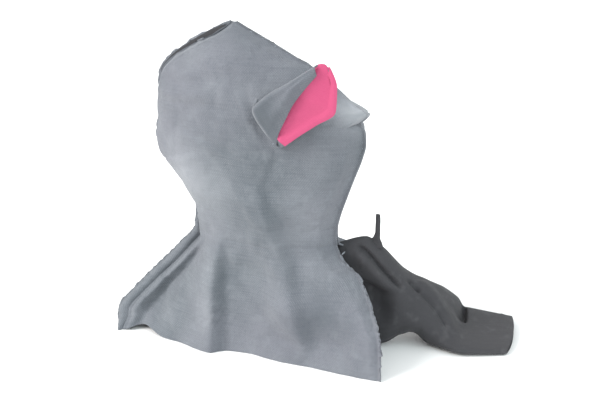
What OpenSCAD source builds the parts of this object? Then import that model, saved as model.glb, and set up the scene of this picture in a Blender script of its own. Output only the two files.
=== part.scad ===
// Cloth animal-head hand puppet: two sewn woven panels, a black jersey
// hand lining that leaves the front vent as a sleeve, and lined ears.
// X runs towards the snout, -Y is the near side, +Z is up.
// The origin is the centre of the open hem, on the surface it stands on.

/* [Cloth] */
// Thickness of the woven outer cloth
cloth_t = 1.4; // [1.0:0.1:1.6]
// Thickness of the jersey lining and sleeve
jersey_t = 1.2; // [1.0:0.1:1.4]
// Half of the gap left between two panels along a seam
seam_gap = 0.2; // [0.15:0.05:0.3]

/* [Head] */
// Half thickness of the head at its fullest
head_half_depth = 37; // [33:1:39]
// Gap between the outer cloth and the hand lining
lining_gap = 3; // [3:0.5:4]
// Height of the mouth slit above the surface
mouth_z = 205; // [205:1:205]
// Distance of the mouth corner in front of the neck
mouth_corner_x = 46; // [46:1:46]
// Thickness of the stiffening board in each mouth half
board_t = 1.8; // [1.2:0.2:2.0]

/* [Neck] */
// Height where the skirt is sewn to the neck
neck_z = 98; // [98:1:98]
// Height of the neck casing
casing_h = 13; // [12:0.5:13]
// Slope of the head's lower edge, which leaves room for nodding
nod_slope = 16; // [16:1:18]

/* [Ears] */
// Length of the near ear from its root to its tip, as a scale
ear_scale = 1; // [0.9:0.05:1]
// Turn of the far ear about its root, so that it hangs
far_ear_droop = 125; // [115:5:130]
// How much further out the far ear is sewn, clear of the cheek's bulge
far_ear_out = 2.5; // [2.5:0.5:4]

/* [Stitches] */
// Thickness of the sewing thread where it lies on the cloth
thread_d = 0.9; // [0.7:0.1:1.0]
// Distance from one seam stitch to the next
stitch_pitch = 8; // [6:1:12]

/* [Hidden] */

woven = [0.66, 0.68, 0.72];
pink = [0.91, 0.38, 0.56];
black_jersey = [0.30, 0.30, 0.32];
thread = [0.55, 0.58, 0.62];
foam = [0.9, 0.9, 0.86];

// Outlines of the flat panels as [height, x]
back_edge = [
    [0, -133], [10, -138], [16, -140], [30, -131], [45, -119], [61, -104], [77, -90], [93, -76],
    [98, -74], [112, -73], [120, -74], [138, -84], [152, -96], [168, -110], [178, -112],
    [200, -108], [216, -108], [234, -106], [246, -97], [261, -76], [270, -60], [277, -45], [281, -34]
];
front_edge = [
    [0, 124], [29, 119], [53, 107], [66, 97], [76, 90], [84, 75], [93, 68], [98, 66], [112, 66],
    [122, 68], [140, 74], [159, 81], [175, 87], [188, 90], [198, 89], [205, 88], [212, 92],
    [219, 82], [225, 74], [233, 64], [241, 53], [249, 41], [255, 28], [261, 16], [272, -7],
    [278, -20], [281, -26]
];
far_front_edge = [[0, 80], [60, 84], [76, 80], [98, 66]];
// Side offset of the seams as [height, y]
back_seam_y = [[0, -46], [16, -34], [30, -25], [45, -16], [61, -9], [77, -3], [93, 0]];
near_front_y = [[0, -40], [35, -28], [53, -19], [66, -11], [84, -3], [93, 0]];
far_front_y = [[0, 42], [60, 34], [88, 28], [98, 8]];
// Bulge of each panel beyond its seams as [height, depth]
near_bulge = [[0, 1], [30, 12], [60, 25], [98, 30]];
far_bulge = [[0, 44], [30, 36], [60, 26], [98, 30]];
head_bulge = [
    [98, 30], [112, 31], [140, 35], [190, head_half_depth], [220, head_half_depth - 2],
    [245, 28], [262, 18], [275, 8], [281, 3]
];
// Roundness of the cross-section as [height, power]: a small power is boxy
roundness = [[0, 0.4], [98, 0.6]];

mouth_clear = 0.6;
head_base_z = neck_z + casing_h + 2.6;
nod_x = -3.5;
jaw_line = 0.966;    // run per unit of drop of the jaw's rear edge
throat_line = 0.372; // run per unit of drop of the throat's rear edge
columns = [0, 0.03, 0.08, 0.15, 0.24, 0.34, 0.45, 0.56, 0.67, 0.77, 0.86, 0.93, 0.97, 1];
few_columns = [0, 0.1, 0.25, 0.42, 0.6, 0.78, 0.92, 1];
ring_sides = 20;

// Sleeve rings as [centre, half width vector, half thickness vector]
root_rings = [
    [[26, 4, 48], [0, 0, 42], [0, -8, 0]],
    [[56, 10, 50], [0, 0, 44], [0, -9, 0]],
    [[84, 19, 52], [0, 0, 48], [0, -9, 0]]
];
upper_rings = [
    [[86.5, 20, 54], [0, 0, 50], [0, -9, 0]],
    [[97, 27, 48], [-1, 3, 44], [6, -12, 2]],
    [[111, 41, 37], [-3, 10, 28], [10, -15, 8]],
    [[131, 55, 25], [-5, 22, 17], [8, -10, 12]],
    [[147, 66, 15], [-4, 36, 7], [3, -3, 11]],
    [[156, 76, 10], [-8, 48, 1], [0, 0, 9]]
];
lower_rings = [
    [[157.2, 76.2, 8], [-8, 48, 0], [0, 0, 8]],
    [[180, 81, 6.5], [-6, 45, 0], [0, 0, 6.5]]
];
cuff_rings = [
    [[180.4, 81.1, 6.5], [-6, 45, 0], [0, 0, 6.5]],
    [[200, 85, 5.5], [-4, 41, 0], [0, 0, 5.5]]
];

// Ear lines from root to tip: near rim, fold and far rim
ear_near_rim = [
    [33, -44, 187], [34, -51, 198], [43, -55, 215], [50, -56, 230], [58, -54, 242], [69, -50, 253]
];
ear_fold = [
    [12, -41, 226], [20, -47, 234], [33, -49, 243], [45, -49, 250], [57, -48, 256], [67, -46, 261]
];
ear_far_rim = [
    [28, -40, 188], [48, -40, 202], [64, -40, 212], [80, -40, 224], [81, -41, 243], [74, -43, 257]
];
// Rise of the grey half between its fold and rim, and the share of it by which the pink half sinks
ear_cup = [0.5, -3.2, 0.5];
ear_hollow = -0.6;
ear_stitch_place = [-2.5, -1.9, -1.5];
ear_root_mid = [19.5, -39, 207.5];
ear_root_dir = [18, 2, -38];

function seam_t(x, z, front) = let (b = lookup(z, back_edge)) min(1, max(0, (x - b) / (front - b)));
function swell(t, z) = pow(max(0, 4 * t * (1 - t)), lookup(z, roundness));
function mix(a, b, t) = a + (b - a) * t;

// Side offset of each panel's outer surface
function head_y(x, z) =
    let (t = seam_t(x, z, lookup(z, front_edge)))
    -(seam_gap + cloth_t + lookup(z, head_bulge) * swell(t, z));
function near_skirt_seam(x, z) =
    mix(lookup(z, back_seam_y), lookup(z, near_front_y), seam_t(x, z, lookup(z, front_edge)));
function near_skirt_y(x, z) =
    near_skirt_seam(x, z) - seam_gap - cloth_t
    - lookup(z, near_bulge) * swell(seam_t(x, z, lookup(z, front_edge)), z);
function far_skirt_seam(x, z) =
    mix(lookup(z, back_seam_y), lookup(z, far_front_y), seam_t(x, z, lookup(z, far_front_edge)));
function far_skirt_y(x, z) =
    far_skirt_seam(x, z) + seam_gap + cloth_t
    + lookup(z, far_bulge) * swell(seam_t(x, z, lookup(z, far_front_edge)), z);

// Depth of a sheet along Y, so that its wall keeps its thickness on a slope
function wall(sx, sz, t) = t * min(2.2, sqrt(1 + sx * sx + sz * sz));

function quad(a, b, c, d) = [[a, b, c], [a, c, d]];
function turned(face) = [face[2], face[1], face[0]];

// Closed sheet between two grids of points with the same rows and columns
module sheet(outer, inner, flip = false) {
    rows = len(outer);
    cols = len(outer[0]);
    n = rows * cols;
    last = n - cols;
    points = [for (grid = [outer, inner]) for (row = grid) for (p = row) p];
    faces = [
        for (i = [0 : rows - 2]) for (j = [0 : cols - 2]) let (k = i * cols + j)
            each concat(quad(k, k + 1, k + cols + 1, k + cols),
                        quad(n + k, n + k + cols, n + k + cols + 1, n + k + 1)),
        for (j = [0 : cols - 2])
            each concat(quad(j, n + j, n + j + 1, j + 1),
                        quad(last + j, last + j + 1, n + last + j + 1, n + last + j)),
        for (i = [0 : rows - 2]) let (k = i * cols, m = i * cols + cols - 1)
            each concat(quad(k, k + cols, n + k + cols, n + k), quad(m, n + m, n + m + cols, m + cols))
    ];
    polyhedron(points, flip ? [for (f = faces) turned(f)] : faces, convexity = 8);
}

// Closed tube between an outer and an inner run of rings
module tube(outer, inner) {
    rows = len(outer);
    cols = len(outer[0]);
    n = rows * cols;
    last = n - cols;
    points = [for (grid = [outer, inner]) for (row = grid) for (p = row) p];
    faces = [
        for (i = [0 : rows - 2]) for (j = [0 : cols - 1])
            let (a = i * cols + j, b = i * cols + (j + 1) % cols)
            each concat(quad(a, b, b + cols, a + cols), quad(n + a, n + a + cols, n + b + cols, n + b)),
        for (j = [0 : cols - 1]) let (k = (j + 1) % cols)
            each concat(quad(j, n + j, n + k, k), quad(last + j, last + k, n + last + k, n + last + j))
    ];
    polyhedron(points, faces, convexity = 8);
}

// Depth of the head sheet along Y
function head_wall(x, z, t) =
    wall((head_y(x + 1, z) - head_y(x - 1, z)) / 2, (head_y(x, z + 1) - head_y(x, z - 1)) / 2, t);

module head_sheet(zs, lo, hi, cols, inset, t) {
    outer = [
        for (i = [0 : len(zs) - 1]) let (z = zs[i])
            [for (c = cols) let (x = mix(lo[i], hi[i], c)) [x, min(-seam_gap - t, head_y(x, z) + inset), z]]
    ];
    inner = [
        for (row = outer)
            [for (p = row) [p[0], min(-seam_gap, p[1] + head_wall(p[0], p[2], t)), p[2]]]
    ];
    sheet(outer, inner, flip = true);
}

// Head: rows of heights, with the lower edge sloping up from the neck
head_rows = [
    136, 150, 165, 178, 190, 198, 204.2, 205.8, 212, 219, 226, 234, 242, 250, 258, 266, 273, 278, 281
];
function throat_x(z) = mouth_corner_x + (mouth_z - z) * throat_line;
function jaw_x(z) = mouth_corner_x + (mouth_z - z) * jaw_line;
function head_front(z) =
    let (front = lookup(z, front_edge)) z > mouth_z ? front : min(front, throat_x(z) - 0.5);
function nod_edge_z(x) = head_base_z + abs(x - nod_x) * tan(nod_slope);

// Head panel: its two lowest rows follow the sloping edge
module head_panel() {
    lowest = [for (c = columns) nod_edge_z(mix(lookup(125, back_edge), lookup(125, front_edge), c))];
    low_rows = [for (k = [0, 0.5]) [for (e = lowest) mix(e, head_rows[0], k)]];
    all_z = concat(low_rows, [for (z = head_rows) [for (c = columns) z]]);
    outer = [
        for (row = all_z)
            [for (j = [0 : len(columns) - 1])
                let (z = row[j], x = mix(lookup(z, back_edge), head_front(z), columns[j]))
                [x, head_y(x, z), z]]
    ];
    inner = [
        for (row = outer)
            [for (p = row) [p[0], min(-seam_gap, p[1] + head_wall(p[0], p[2], cloth_t)), p[2]]]
    ];
    color(woven) sheet(outer, inner, flip = true);
}

// Jersey lining inside the head, kept clear of the panel and the mouth
module hand_lining() {
    zs = [138, 155, 172, 190, 203, 216, 230, 243];
    lo = [for (z = zs) lookup(z, back_edge) + 9];
    hi = [for (z = zs) min(lookup(z, front_edge) - 10, 42)];
    color(black_jersey) head_sheet(zs, lo, hi, few_columns, cloth_t + lining_gap, jersey_t);
}

// Soft gusset that closes the sloping gap between the casing and the head
module neck_gusset() {
    casing_top = neck_z + casing_h + 0.6;
    outer = [
        for (k = [0, 0.5, 1])
            [for (c = columns)
                let (x0 = mix(lookup(118, back_edge), lookup(118, front_edge), c),
                     z = mix(casing_top + 0.4, nod_edge_z(x0) - 0.5, k),
                     x = mix(lookup(z, back_edge), lookup(z, front_edge), c))
                [x, head_y(x, z), z]]
    ];
    inner = [
        for (row = outer)
            [for (p = row) [p[0], min(-seam_gap, p[1] + head_wall(p[0], p[2], cloth_t)), p[2]]]
    ];
    color(woven) sheet(outer, inner, flip = true);
}

module neck_casing() {
    zs = [neck_z + 0.7, neck_z + casing_h / 2, neck_z + casing_h];
    lo = [for (z = zs) lookup(z, back_edge)];
    hi = [for (z = zs) lookup(z, front_edge)];
    color(woven) head_sheet(zs, lo, hi, columns, 0, cloth_t);
}

// Oval of the neck, moved inwards by an inset
function neck_oval(inset) =
    let (z = neck_z + casing_h / 2, b = lookup(z, back_edge) + inset, f = lookup(z, front_edge) - inset,
         steps = [0 : 0.0625 : 1])
    [
        for (t = steps) [mix(b, f, t), -(lookup(z, head_bulge) - inset) * swell(t, z)],
        for (t = steps) if (t > 0 && t < 1) [mix(f, b, t), (lookup(z, head_bulge) - inset) * swell(t, z)]
    ];

// Elastic in the casing, which grips the wrist
module neck_elastic() {
    color(foam) translate([0, 0, neck_z + 3])
        linear_extrude(casing_h - 6) difference() {
            polygon(neck_oval(6));
            polygon(neck_oval(8));
        }
}

module throat_cloth() {
    zs = [139, 152, 166, 180, 194];
    lo = [for (z = zs) throat_x(z) + 0.6];
    hi = [for (z = zs) min(lookup(z, front_edge), jaw_x(z) - 0.6)];
    color(woven) head_sheet(zs, lo, hi, few_columns, 0, cloth_t);
}

module cheek() {
    zs = [170, 178, 186, 193, 199, mouth_z - mouth_clear];
    lo = [for (z = zs) max(jaw_x(z) + 0.6, mouth_corner_x + 4)];
    hi = [for (z = zs) lookup(z, front_edge)];
    color(woven) head_sheet(zs, lo, hi, few_columns, 0, cloth_t);
}

// Outline of a mouth half seen from above, straight at the corner
module mouth_outline() {
    offset(r = 2, $fn = 16) offset(r = -2)
        polygon([[50, -21], [62, -16], [74, -10], [82, -4], [82, 4], [74, 10], [62, 16], [50, 21]]);
}

module mouth_plate(z, t) {
    translate([0, 0, z]) linear_extrude(t) mouth_outline();
}

// Rolled cloth at the mouth corner, on the jaw's turning line
module mouth_corner_roll() {
    color(pink) translate([mouth_corner_x, 0, mouth_z]) rotate([90, 0, 0])
        cylinder(d = 3, h = 36, center = true, $fn = 24);
}

module stitch(x, y, z, len) {
    translate([x, y, z]) rotate([90, 0, 0]) cylinder(d = thread_d, h = len, center = true, $fn = 16);
}

// Short stitches across the edge where the two panels meet
module back_stitches(z0, z1, out) {
    for (z = [z0 : stitch_pitch : z1])
        stitch(lookup(z, back_edge) - out, z < 93 ? lookup(z, back_seam_y) : 0, z, 3.4);
}

module front_stitches(z0, z1, out) {
    for (z = [z0 : stitch_pitch : z1]) stitch(lookup(z, front_edge) + out, 0, z, 3.4);
}

module crown_padding() {
    color(foam) hull() for (p = [[-72, 240, 12], [-40, 250, 13], [0, 247, 12]])
        translate([p[0], 0, p[1]]) sphere(r = p[2] - 2, $fn = 20);
}

// Ear: the three lines are joined across by curves that cup the cloth
function bend(a, f, b, s) =
    let (t = s < 0 ? -s : s, end = s < 0 ? a : b)
    f + (end - f) * t + ear_cup * (s < 0 ? 1 : ear_hollow) * 4 * t * (1 - t);
ear_steps = [-1, -0.7, -0.4, -0.15, 0, 0.2, 0.45, 0.72, 1];
function ear_grid() = [
    for (i = [0 : len(ear_fold) - 1])
        [for (s = ear_steps) bend(ear_near_rim[i], ear_fold[i], ear_far_rim[i], s)]
];
function clampi(i, n) = max(0, min(n - 1, i));
function grid_normal(g, i, j) =
    let (r = len(g), c = len(g[0]),
         du = g[clampi(i + 1, r)][j] - g[clampi(i - 1, r)][j],
         dv = g[i][clampi(j + 1, c)] - g[i][clampi(j - 1, c)],
         n = cross(du, dv))
    n / norm(n);
function grid_offset(g, d) = [
    for (i = [0 : len(g) - 1]) [for (j = [0 : len(g[0]) - 1]) g[i][j] + d * grid_normal(g, i, j)]
];

module ear_layer(depth, t) {
    g = ear_grid();
    sheet(grid_offset(g, -depth), grid_offset(g, -depth - t));
}

module ear_outer() {
    color(woven) ear_layer(0, cloth_t);
}

module ear_lining() {
    color(pink) ear_layer(cloth_t + 0.3, cloth_t - 0.4);
}

module ear_stitches() {
    color(thread) for (k = [0.1 : 0.2 : 0.9])
        translate(ear_root_mid + (k - 0.5) * ear_root_dir + ear_stitch_place) rotate([90, 0, 20])
            cylinder(d = thread_d, h = 2, center = true, $fn = 16);
}

module near_ear_place() {
    translate(ear_root_mid) scale(ear_scale) translate(-ear_root_mid) children();
}

module far_ear_place() {
    mirror([0, 1, 0]) translate(ear_root_mid - [0, far_ear_out, 0]) rotate([0, far_ear_droop, 0])
        translate(-ear_root_mid) near_ear_place() children();
}

// Sleeve: rings round the path, each an oval across two vectors
function ring(r, t) =
    let (w = r[1] * (1 - t / norm(r[1])), n = r[2] * (1 - t / norm(r[2])))
    [for (k = [0 : ring_sides - 1]) let (a = 360 * k / ring_sides) r[0] + w * cos(a) + n * sin(a)];

module sleeve_tube(rings) {
    color(black_jersey) tube([for (r = rings) ring(r, 0)], [for (r = rings) ring(r, jersey_t)]);
}

// Standing point of jersey at the top of the sleeve
module sleeve_tab() {
    color(black_jersey) translate([0, 23.6, 0]) rotate([90, 0, 0]) linear_extrude(1.6)
        polygon([[88.5, 105], [92, 107], [93, 110], [93, 123], [96, 123], [96, 107], [98, 99], [97, 97.5]]);
}

module near_skirt_panel() {
    zs = [0, 8, 18, 30, 42, 53, 62, 70, 78, 86, 93, neck_z];
    outer = [
        for (z = zs)
            [for (c = columns)
                let (x = mix(lookup(z, back_edge), lookup(z, front_edge), c)) [x, near_skirt_y(x, z), z]]
    ];
    inner = [
        for (row = outer) [
            for (p = row)
                let (sx = (near_skirt_y(p[0] + 1, p[2]) - near_skirt_y(p[0] - 1, p[2])) / 2,
                     sz = (near_skirt_y(p[0], p[2] + 1) - near_skirt_y(p[0], p[2] - 1)) / 2)
                [p[0], min(near_skirt_seam(p[0], p[2]) - seam_gap, p[1] + wall(sx, sz, cloth_t)), p[2]]
        ]
    ];
    color(woven) sheet(outer, inner, flip = true);
}

module far_skirt_panel() {
    zs = [0, 8, 18, 30, 42, 53, 62, 70, 78, 86, 93, neck_z];
    outer = [
        for (z = zs)
            [for (c = columns)
                let (x = mix(lookup(z, back_edge), lookup(z, far_front_edge), c)) [x, far_skirt_y(x, z), z]]
    ];
    inner = [
        for (row = outer) [
            for (p = row)
                let (sx = (far_skirt_y(p[0] + 1, p[2]) - far_skirt_y(p[0] - 1, p[2])) / 2,
                     sz = (far_skirt_y(p[0], p[2] + 1) - far_skirt_y(p[0], p[2] - 1)) / 2)
                [p[0], max(far_skirt_seam(p[0], p[2]) + seam_gap, p[1] - wall(sx, sz, cloth_t)), p[2]]
        ]
    ];
    color(woven) sheet(outer, inner);
}

module far_side() {
    mirror([0, 1, 0]) children();
}

near_skirt_panel();
far_skirt_panel();
color(thread) back_stitches(8, 92, 1.3);  // back_seam_stitches
color(thread) stitch(73, 1, 92, 6);  // vent_bar_tack
sleeve_tube(root_rings);  // sleeve_root
neck_casing();  // near_neck_casing
far_side() neck_casing();  // far_neck_casing
neck_elastic();
color(thread) back_stitches(101, 110, 0.9);  // neck_seam_stitches
neck_gusset();  // near_neck_gusset
far_side() neck_gusset();  // far_neck_gusset
head_panel();  // near_head_panel
far_side() head_panel();  // far_head_panel
hand_lining();  // near_hand_lining
far_side() hand_lining();  // far_hand_lining
crown_padding();
color(foam) mouth_plate(mouth_z + 1.8, board_t);  // upper_mouth_board
color(pink) mouth_plate(mouth_z + 0.6, 0.9);  // upper_mouth_lining
mouth_corner_roll();
color(thread) {  // head_seam_stitches
    back_stitches(140, 276, 1.3);
    front_stitches(221, 276, 1.3);
}
throat_cloth();  // near_throat_cloth
far_side() throat_cloth();  // far_throat_cloth
cheek();  // near_cheek
far_side() cheek();  // far_cheek
color(foam) mouth_plate(mouth_z - 1.8 - board_t, board_t);  // lower_mouth_board
color(pink) mouth_plate(mouth_z - 1.5, 0.9);  // lower_mouth_lining
color(thread) front_stitches(174, 200, 1.2);  // chin_seam_stitches
near_ear_place() ear_outer();  // near_ear_outer
near_ear_place() ear_lining();  // near_ear_lining
near_ear_place() ear_stitches();  // near_ear_stitches
far_ear_place() ear_outer();  // far_ear_outer
far_ear_place() ear_lining();  // far_ear_lining
far_ear_place() ear_stitches();  // far_ear_stitches
sleeve_tube(upper_rings);  // sleeve_upper
sleeve_tab();
sleeve_tube(lower_rings);  // sleeve_lower
sleeve_tube(cuff_rings);  // sleeve_cuff
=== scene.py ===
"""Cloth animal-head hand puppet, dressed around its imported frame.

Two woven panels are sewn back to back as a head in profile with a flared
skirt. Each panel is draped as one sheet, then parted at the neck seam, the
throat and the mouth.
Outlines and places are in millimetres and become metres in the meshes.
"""

import logging
import math
from dataclasses import dataclass, field
from enum import Enum
from typing import Callable, Optional, Sequence, Union

import bmesh
import bpy
import numpy as np
from mathutils import Matrix, Vector


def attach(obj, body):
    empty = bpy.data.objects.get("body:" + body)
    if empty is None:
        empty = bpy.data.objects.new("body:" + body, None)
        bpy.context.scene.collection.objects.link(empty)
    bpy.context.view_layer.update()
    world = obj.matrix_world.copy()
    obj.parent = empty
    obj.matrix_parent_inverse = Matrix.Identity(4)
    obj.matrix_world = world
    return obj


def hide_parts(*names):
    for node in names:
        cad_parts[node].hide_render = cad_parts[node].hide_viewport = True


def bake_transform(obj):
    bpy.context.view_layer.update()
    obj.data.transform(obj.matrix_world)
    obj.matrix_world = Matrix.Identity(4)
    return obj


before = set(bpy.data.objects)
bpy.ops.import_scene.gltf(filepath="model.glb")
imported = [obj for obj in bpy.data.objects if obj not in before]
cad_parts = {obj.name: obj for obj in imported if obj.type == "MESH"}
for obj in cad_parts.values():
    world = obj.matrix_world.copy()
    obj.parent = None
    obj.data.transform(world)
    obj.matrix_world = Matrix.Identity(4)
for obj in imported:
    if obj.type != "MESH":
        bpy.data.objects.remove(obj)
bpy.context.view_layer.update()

LOG = logging.getLogger("puppet")
MM = 0.001

FLOOR_GAP = 0.0007
LEAST_SHARE = 0.31
SAME_POINT = 0.00001
TINY = 1e-9

Shape = Callable[[np.ndarray, np.ndarray], np.ndarray]
Colour = tuple[float, float, float]


class Side(Enum):
    """Side of the seams that a panel lies on, as the sign of its Y."""

    NEAR = -1
    FAR = 1

    @property
    def word(self) -> str:
        """Name of the side as piece names use it."""
        return self.name.lower()


class Slot(Enum):
    """Material slots."""

    WOVEN = "grey_woven_cloth"
    PINK = "pink_lining"
    JERSEY = "black_jersey"
    THREAD = "sewing_thread"
    PADDING = "padding"
    STIFFENER = "stiffener"
    ELASTIC = "elastic"


class Profile:
    """Smooth curve through a few (height, value) points, without overshoot."""

    def __init__(self, *points: tuple[float, float]) -> None:
        """Keeps the points and works out the slope at each.

        Args:
            points: Heights in rising order, each with its value.
        """
        self.at, self.value = np.array(points, float).T
        run = np.diff(self.at)
        rise = np.diff(self.value) / run
        inner = np.where(rise[:-1] * rise[1:] > 0,
                         2 * rise[:-1] * rise[1:] / np.where(rise[:-1] + rise[1:] == 0, 1, rise[:-1] + rise[1:]), 0)
        self.slope = np.concatenate([rise[:1], inner, rise[-1:]])

    def __call__(self, height: np.ndarray) -> np.ndarray:
        """Value of the curve.

        Args:
            height: Heights to read it at.

        Returns:
            One value for each height.
        """
        h = np.clip(np.asarray(height, float), self.at[0], self.at[-1])
        i = np.clip(np.searchsorted(self.at, h, side="right") - 1, 0, len(self.at) - 2)
        run = self.at[i + 1] - self.at[i]
        t = (h - self.at[i]) / run
        a = self.value[i] * (1 + 2 * t) * (1 - t) ** 2 + self.value[i + 1] * t * t * (3 - 2 * t)
        return a + run * (self.slope[i] * t * (1 - t) ** 2 - self.slope[i + 1] * t * t * (1 - t))


def mix(a: np.ndarray, b: np.ndarray, t: np.ndarray) -> np.ndarray:
    """Straight mix of two values."""
    return a + (b - a) * t


def smooth(t: np.ndarray) -> np.ndarray:
    """Soft step from 0 to 1."""
    t = np.clip(t, 0, 1)
    return t * t * (3 - 2 * t)


def unit(ways: np.ndarray) -> np.ndarray:
    """Directions made 1 long."""
    return ways / np.maximum(np.linalg.norm(ways, axis=-1, keepdims=True), TINY)


def bump(distance: np.ndarray, width: float) -> np.ndarray:
    """Round hump of height 1 about a line."""
    return np.exp(-(distance / width) ** 2)


def along(x: np.ndarray, z: np.ndarray, a: tuple[float, float], b: tuple[float, float]) -> tuple:
    """Place of points relative to a line in the XZ plane.

    Args:
        x: X of the points.
        z: Z of the points.
        a: Start of the line.
        b: End of the line.

    Returns:
        Distance to the right of the line, and how far along it from 0 to 1.
    """
    d = np.array(b, float) - a
    length = math.hypot(*d)
    t = ((x - a[0]) * d[0] + (z - a[1]) * d[1]) / length ** 2
    off = ((x - a[0]) * d[1] - (z - a[1]) * d[0]) / length
    return off, t


def window(t: np.ndarray, soft: float = 0.2) -> np.ndarray:
    """1 between 0 and 1, falling softly to 0 outside."""
    return smooth((t + soft) / (2 * soft)) * smooth((1 + soft - t) / (2 * soft))


def ripple(x: np.ndarray, z: np.ndarray, wave: float, seed: float) -> np.ndarray:
    """Uneven wrinkles made from a few crossing waves.

    Args:
        x: First place along the cloth.
        z: Second place along the cloth.
        wave: Typical distance from one wrinkle to the next.
        seed: Changes the pattern.

    Returns:
        Height from about -1 to 1.
    """
    total = np.zeros_like(x, float)
    for k in range(5):
        turn = seed * 1.7 + k * 2.399
        pitch = wave * (0.75 + 0.17 * k)
        ahead = (x * math.cos(turn) + z * math.sin(turn)) / pitch
        total = total + np.sin(2 * math.pi * ahead + seed * (k + 2.3) + 0.9 * np.sin(ahead * 1.9 + turn))
    return total / 3.2


# ---------------------------------------------------------------- materials


class Graph:
    """Short way to add nodes to a tree and join them."""

    def __init__(self, tree: bpy.types.NodeTree) -> None:
        """Keeps the tree."""
        self.tree = tree

    def add(self, kind: str, **values: object) -> bpy.types.Node:
        """Adds a node and sets properties or input values by name.

        Args:
            kind: Node type without its ShaderNode prefix.
            values: Properties of the node, or inputs with underscores for spaces.

        Returns:
            The new node.
        """
        node = self.tree.nodes.new("ShaderNode" + kind)
        for name, value in values.items():
            if hasattr(node, name):
                setattr(node, name, value)
            else:
                node.inputs[name.replace("_", " ")].default_value = value
        return node

    def join(self, source: bpy.types.NodeSocket, target: bpy.types.NodeSocket) -> None:
        """Links an output to an input."""
        self.tree.links.new(source, target)

    def math(self, operation: str, a: object, b: object = 0.0) -> bpy.types.NodeSocket:
        """Adds a Math node.

        Args:
            operation: Name of the operation.
            a: Number or socket.
            b: Number or socket.

        Returns:
            Its output.
        """
        node = self.add("Math", operation=operation)
        for socket, value in zip(node.inputs, (a, b)):
            if isinstance(value, (int, float)):
                socket.default_value = value
            else:
                self.join(value, socket)
        return node.outputs[0]

    def mix(self, factor: object, a: object, b: object) -> bpy.types.NodeSocket:
        """Adds a colour Mix node.

        Args:
            factor: Number or socket.
            a: Colour or socket at factor 0.
            b: Colour or socket at factor 1.

        Returns:
            Its colour output.
        """
        node = self.add("Mix", data_type="RGBA")
        for socket, value in zip((node.inputs[0], node.inputs[6], node.inputs[7]), (factor, a, b)):
            if isinstance(value, bpy.types.NodeSocket):
                self.join(value, socket)
            elif isinstance(value, tuple):
                socket.default_value = (*value, 1.0)
            else:
                socket.default_value = value
        return node.outputs[2]

    def noise(self, vector: bpy.types.NodeSocket, scale: float, detail: float = 2.0,
              stretch: Sequence[float] = (1, 1, 1)) -> bpy.types.NodeSocket:
        """Adds a noise pattern, stretched along some directions.

        Args:
            vector: Coordinates.
            scale: Number of grains per metre.
            detail: Octaves.
            stretch: Factor on each coordinate.

        Returns:
            The noise value.
        """
        place = self.add("Mapping")
        place.inputs["Scale"].default_value = stretch
        self.join(vector, place.inputs[0])
        node = self.add("TexNoise", Scale=scale, Detail=detail)
        self.join(place.outputs[0], node.inputs["Vector"])
        return node.outputs[0]

    def spread(self, value: bpy.types.NodeSocket, low: float, high: float) -> bpy.types.NodeSocket:
        """Adds a Map Range node that takes low to 0 and high to 1."""
        node = self.add("MapRange", From_Min=low, From_Max=high)
        self.join(value, node.inputs["Value"])
        return node.outputs[0]

    def scaled(self, given: bpy.types.Node) -> tuple[bpy.types.NodeSocket, bpy.types.Node]:
        """Scales a group's first input by its second.

        Args:
            given: Input node of the group.

        Returns:
            The scaled vector, and a node with its separate coordinates.
        """
        scaled = self.add("VectorMath", operation="SCALE")
        self.join(given.outputs[0], scaled.inputs[0])
        self.join(given.outputs[1], scaled.inputs["Scale"])
        parts = self.add("SeparateXYZ")
        self.join(scaled.outputs[0], parts.inputs[0])
        return scaled.outputs[0], parts

    def group(self, name: str, vector: bpy.types.NodeSocket, **values: float) -> bpy.types.Node:
        """Places a shared group on some coordinates.

        Args:
            name: Short name of the group.
            vector: Coordinates.
            values: Other inputs.

        Returns:
            The group's node.
        """
        node = self.add("Group", node_tree=Groups.get(name), **values)
        self.join(vector, node.inputs["Vector"])
        return node

    def put_out(self, out: bpy.types.Node, *values: bpy.types.NodeSocket) -> None:
        """Joins values to a group's outputs in order."""
        for value, socket in zip(values, out.inputs):
            self.join(value, socket)

    def dress(self, shader: bpy.types.Node, colour: bpy.types.NodeSocket, rough: bpy.types.NodeSocket,
              height: bpy.types.NodeSocket, relief: float, strength: float) -> None:
        """Joins a colour, a roughness and a relief to a shader.

        Args:
            shader: The Principled shader.
            colour: Base colour.
            rough: Roughness.
            height: Height of the relief, about 0 to 1.
            relief: What a height of 1 is in metres.
            strength: Share of the relief that shows.
        """
        self.join(colour, shader.inputs["Base Color"])
        self.join(rough, shader.inputs["Roughness"])
        lift = self.add("Bump", Distance=relief, Strength=strength)
        self.join(height, lift.inputs["Height"])
        self.join(lift.outputs[0], shader.inputs["Normal"])


def new_group(name: str, inputs: Sequence[tuple[str, str]], outputs: Sequence[tuple[str, str]]) -> tuple:
    """Starts a shader node group.

    Args:
        name: Name of the group.
        inputs: Name and socket type of each input.
        outputs: Name and socket type of each output.

    Returns:
        The group, its graph, its input node and its output node.
    """
    tree = bpy.data.node_groups.new(name, "ShaderNodeTree")
    for label, kind in inputs:
        tree.interface.new_socket(name=label, in_out="INPUT", socket_type="NodeSocket" + kind)
    for label, kind in outputs:
        tree.interface.new_socket(name=label, in_out="OUTPUT", socket_type="NodeSocket" + kind)
    graph = Graph(tree)
    return tree, graph, tree.nodes.new("NodeGroupInput"), tree.nodes.new("NodeGroupOutput")


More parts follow.
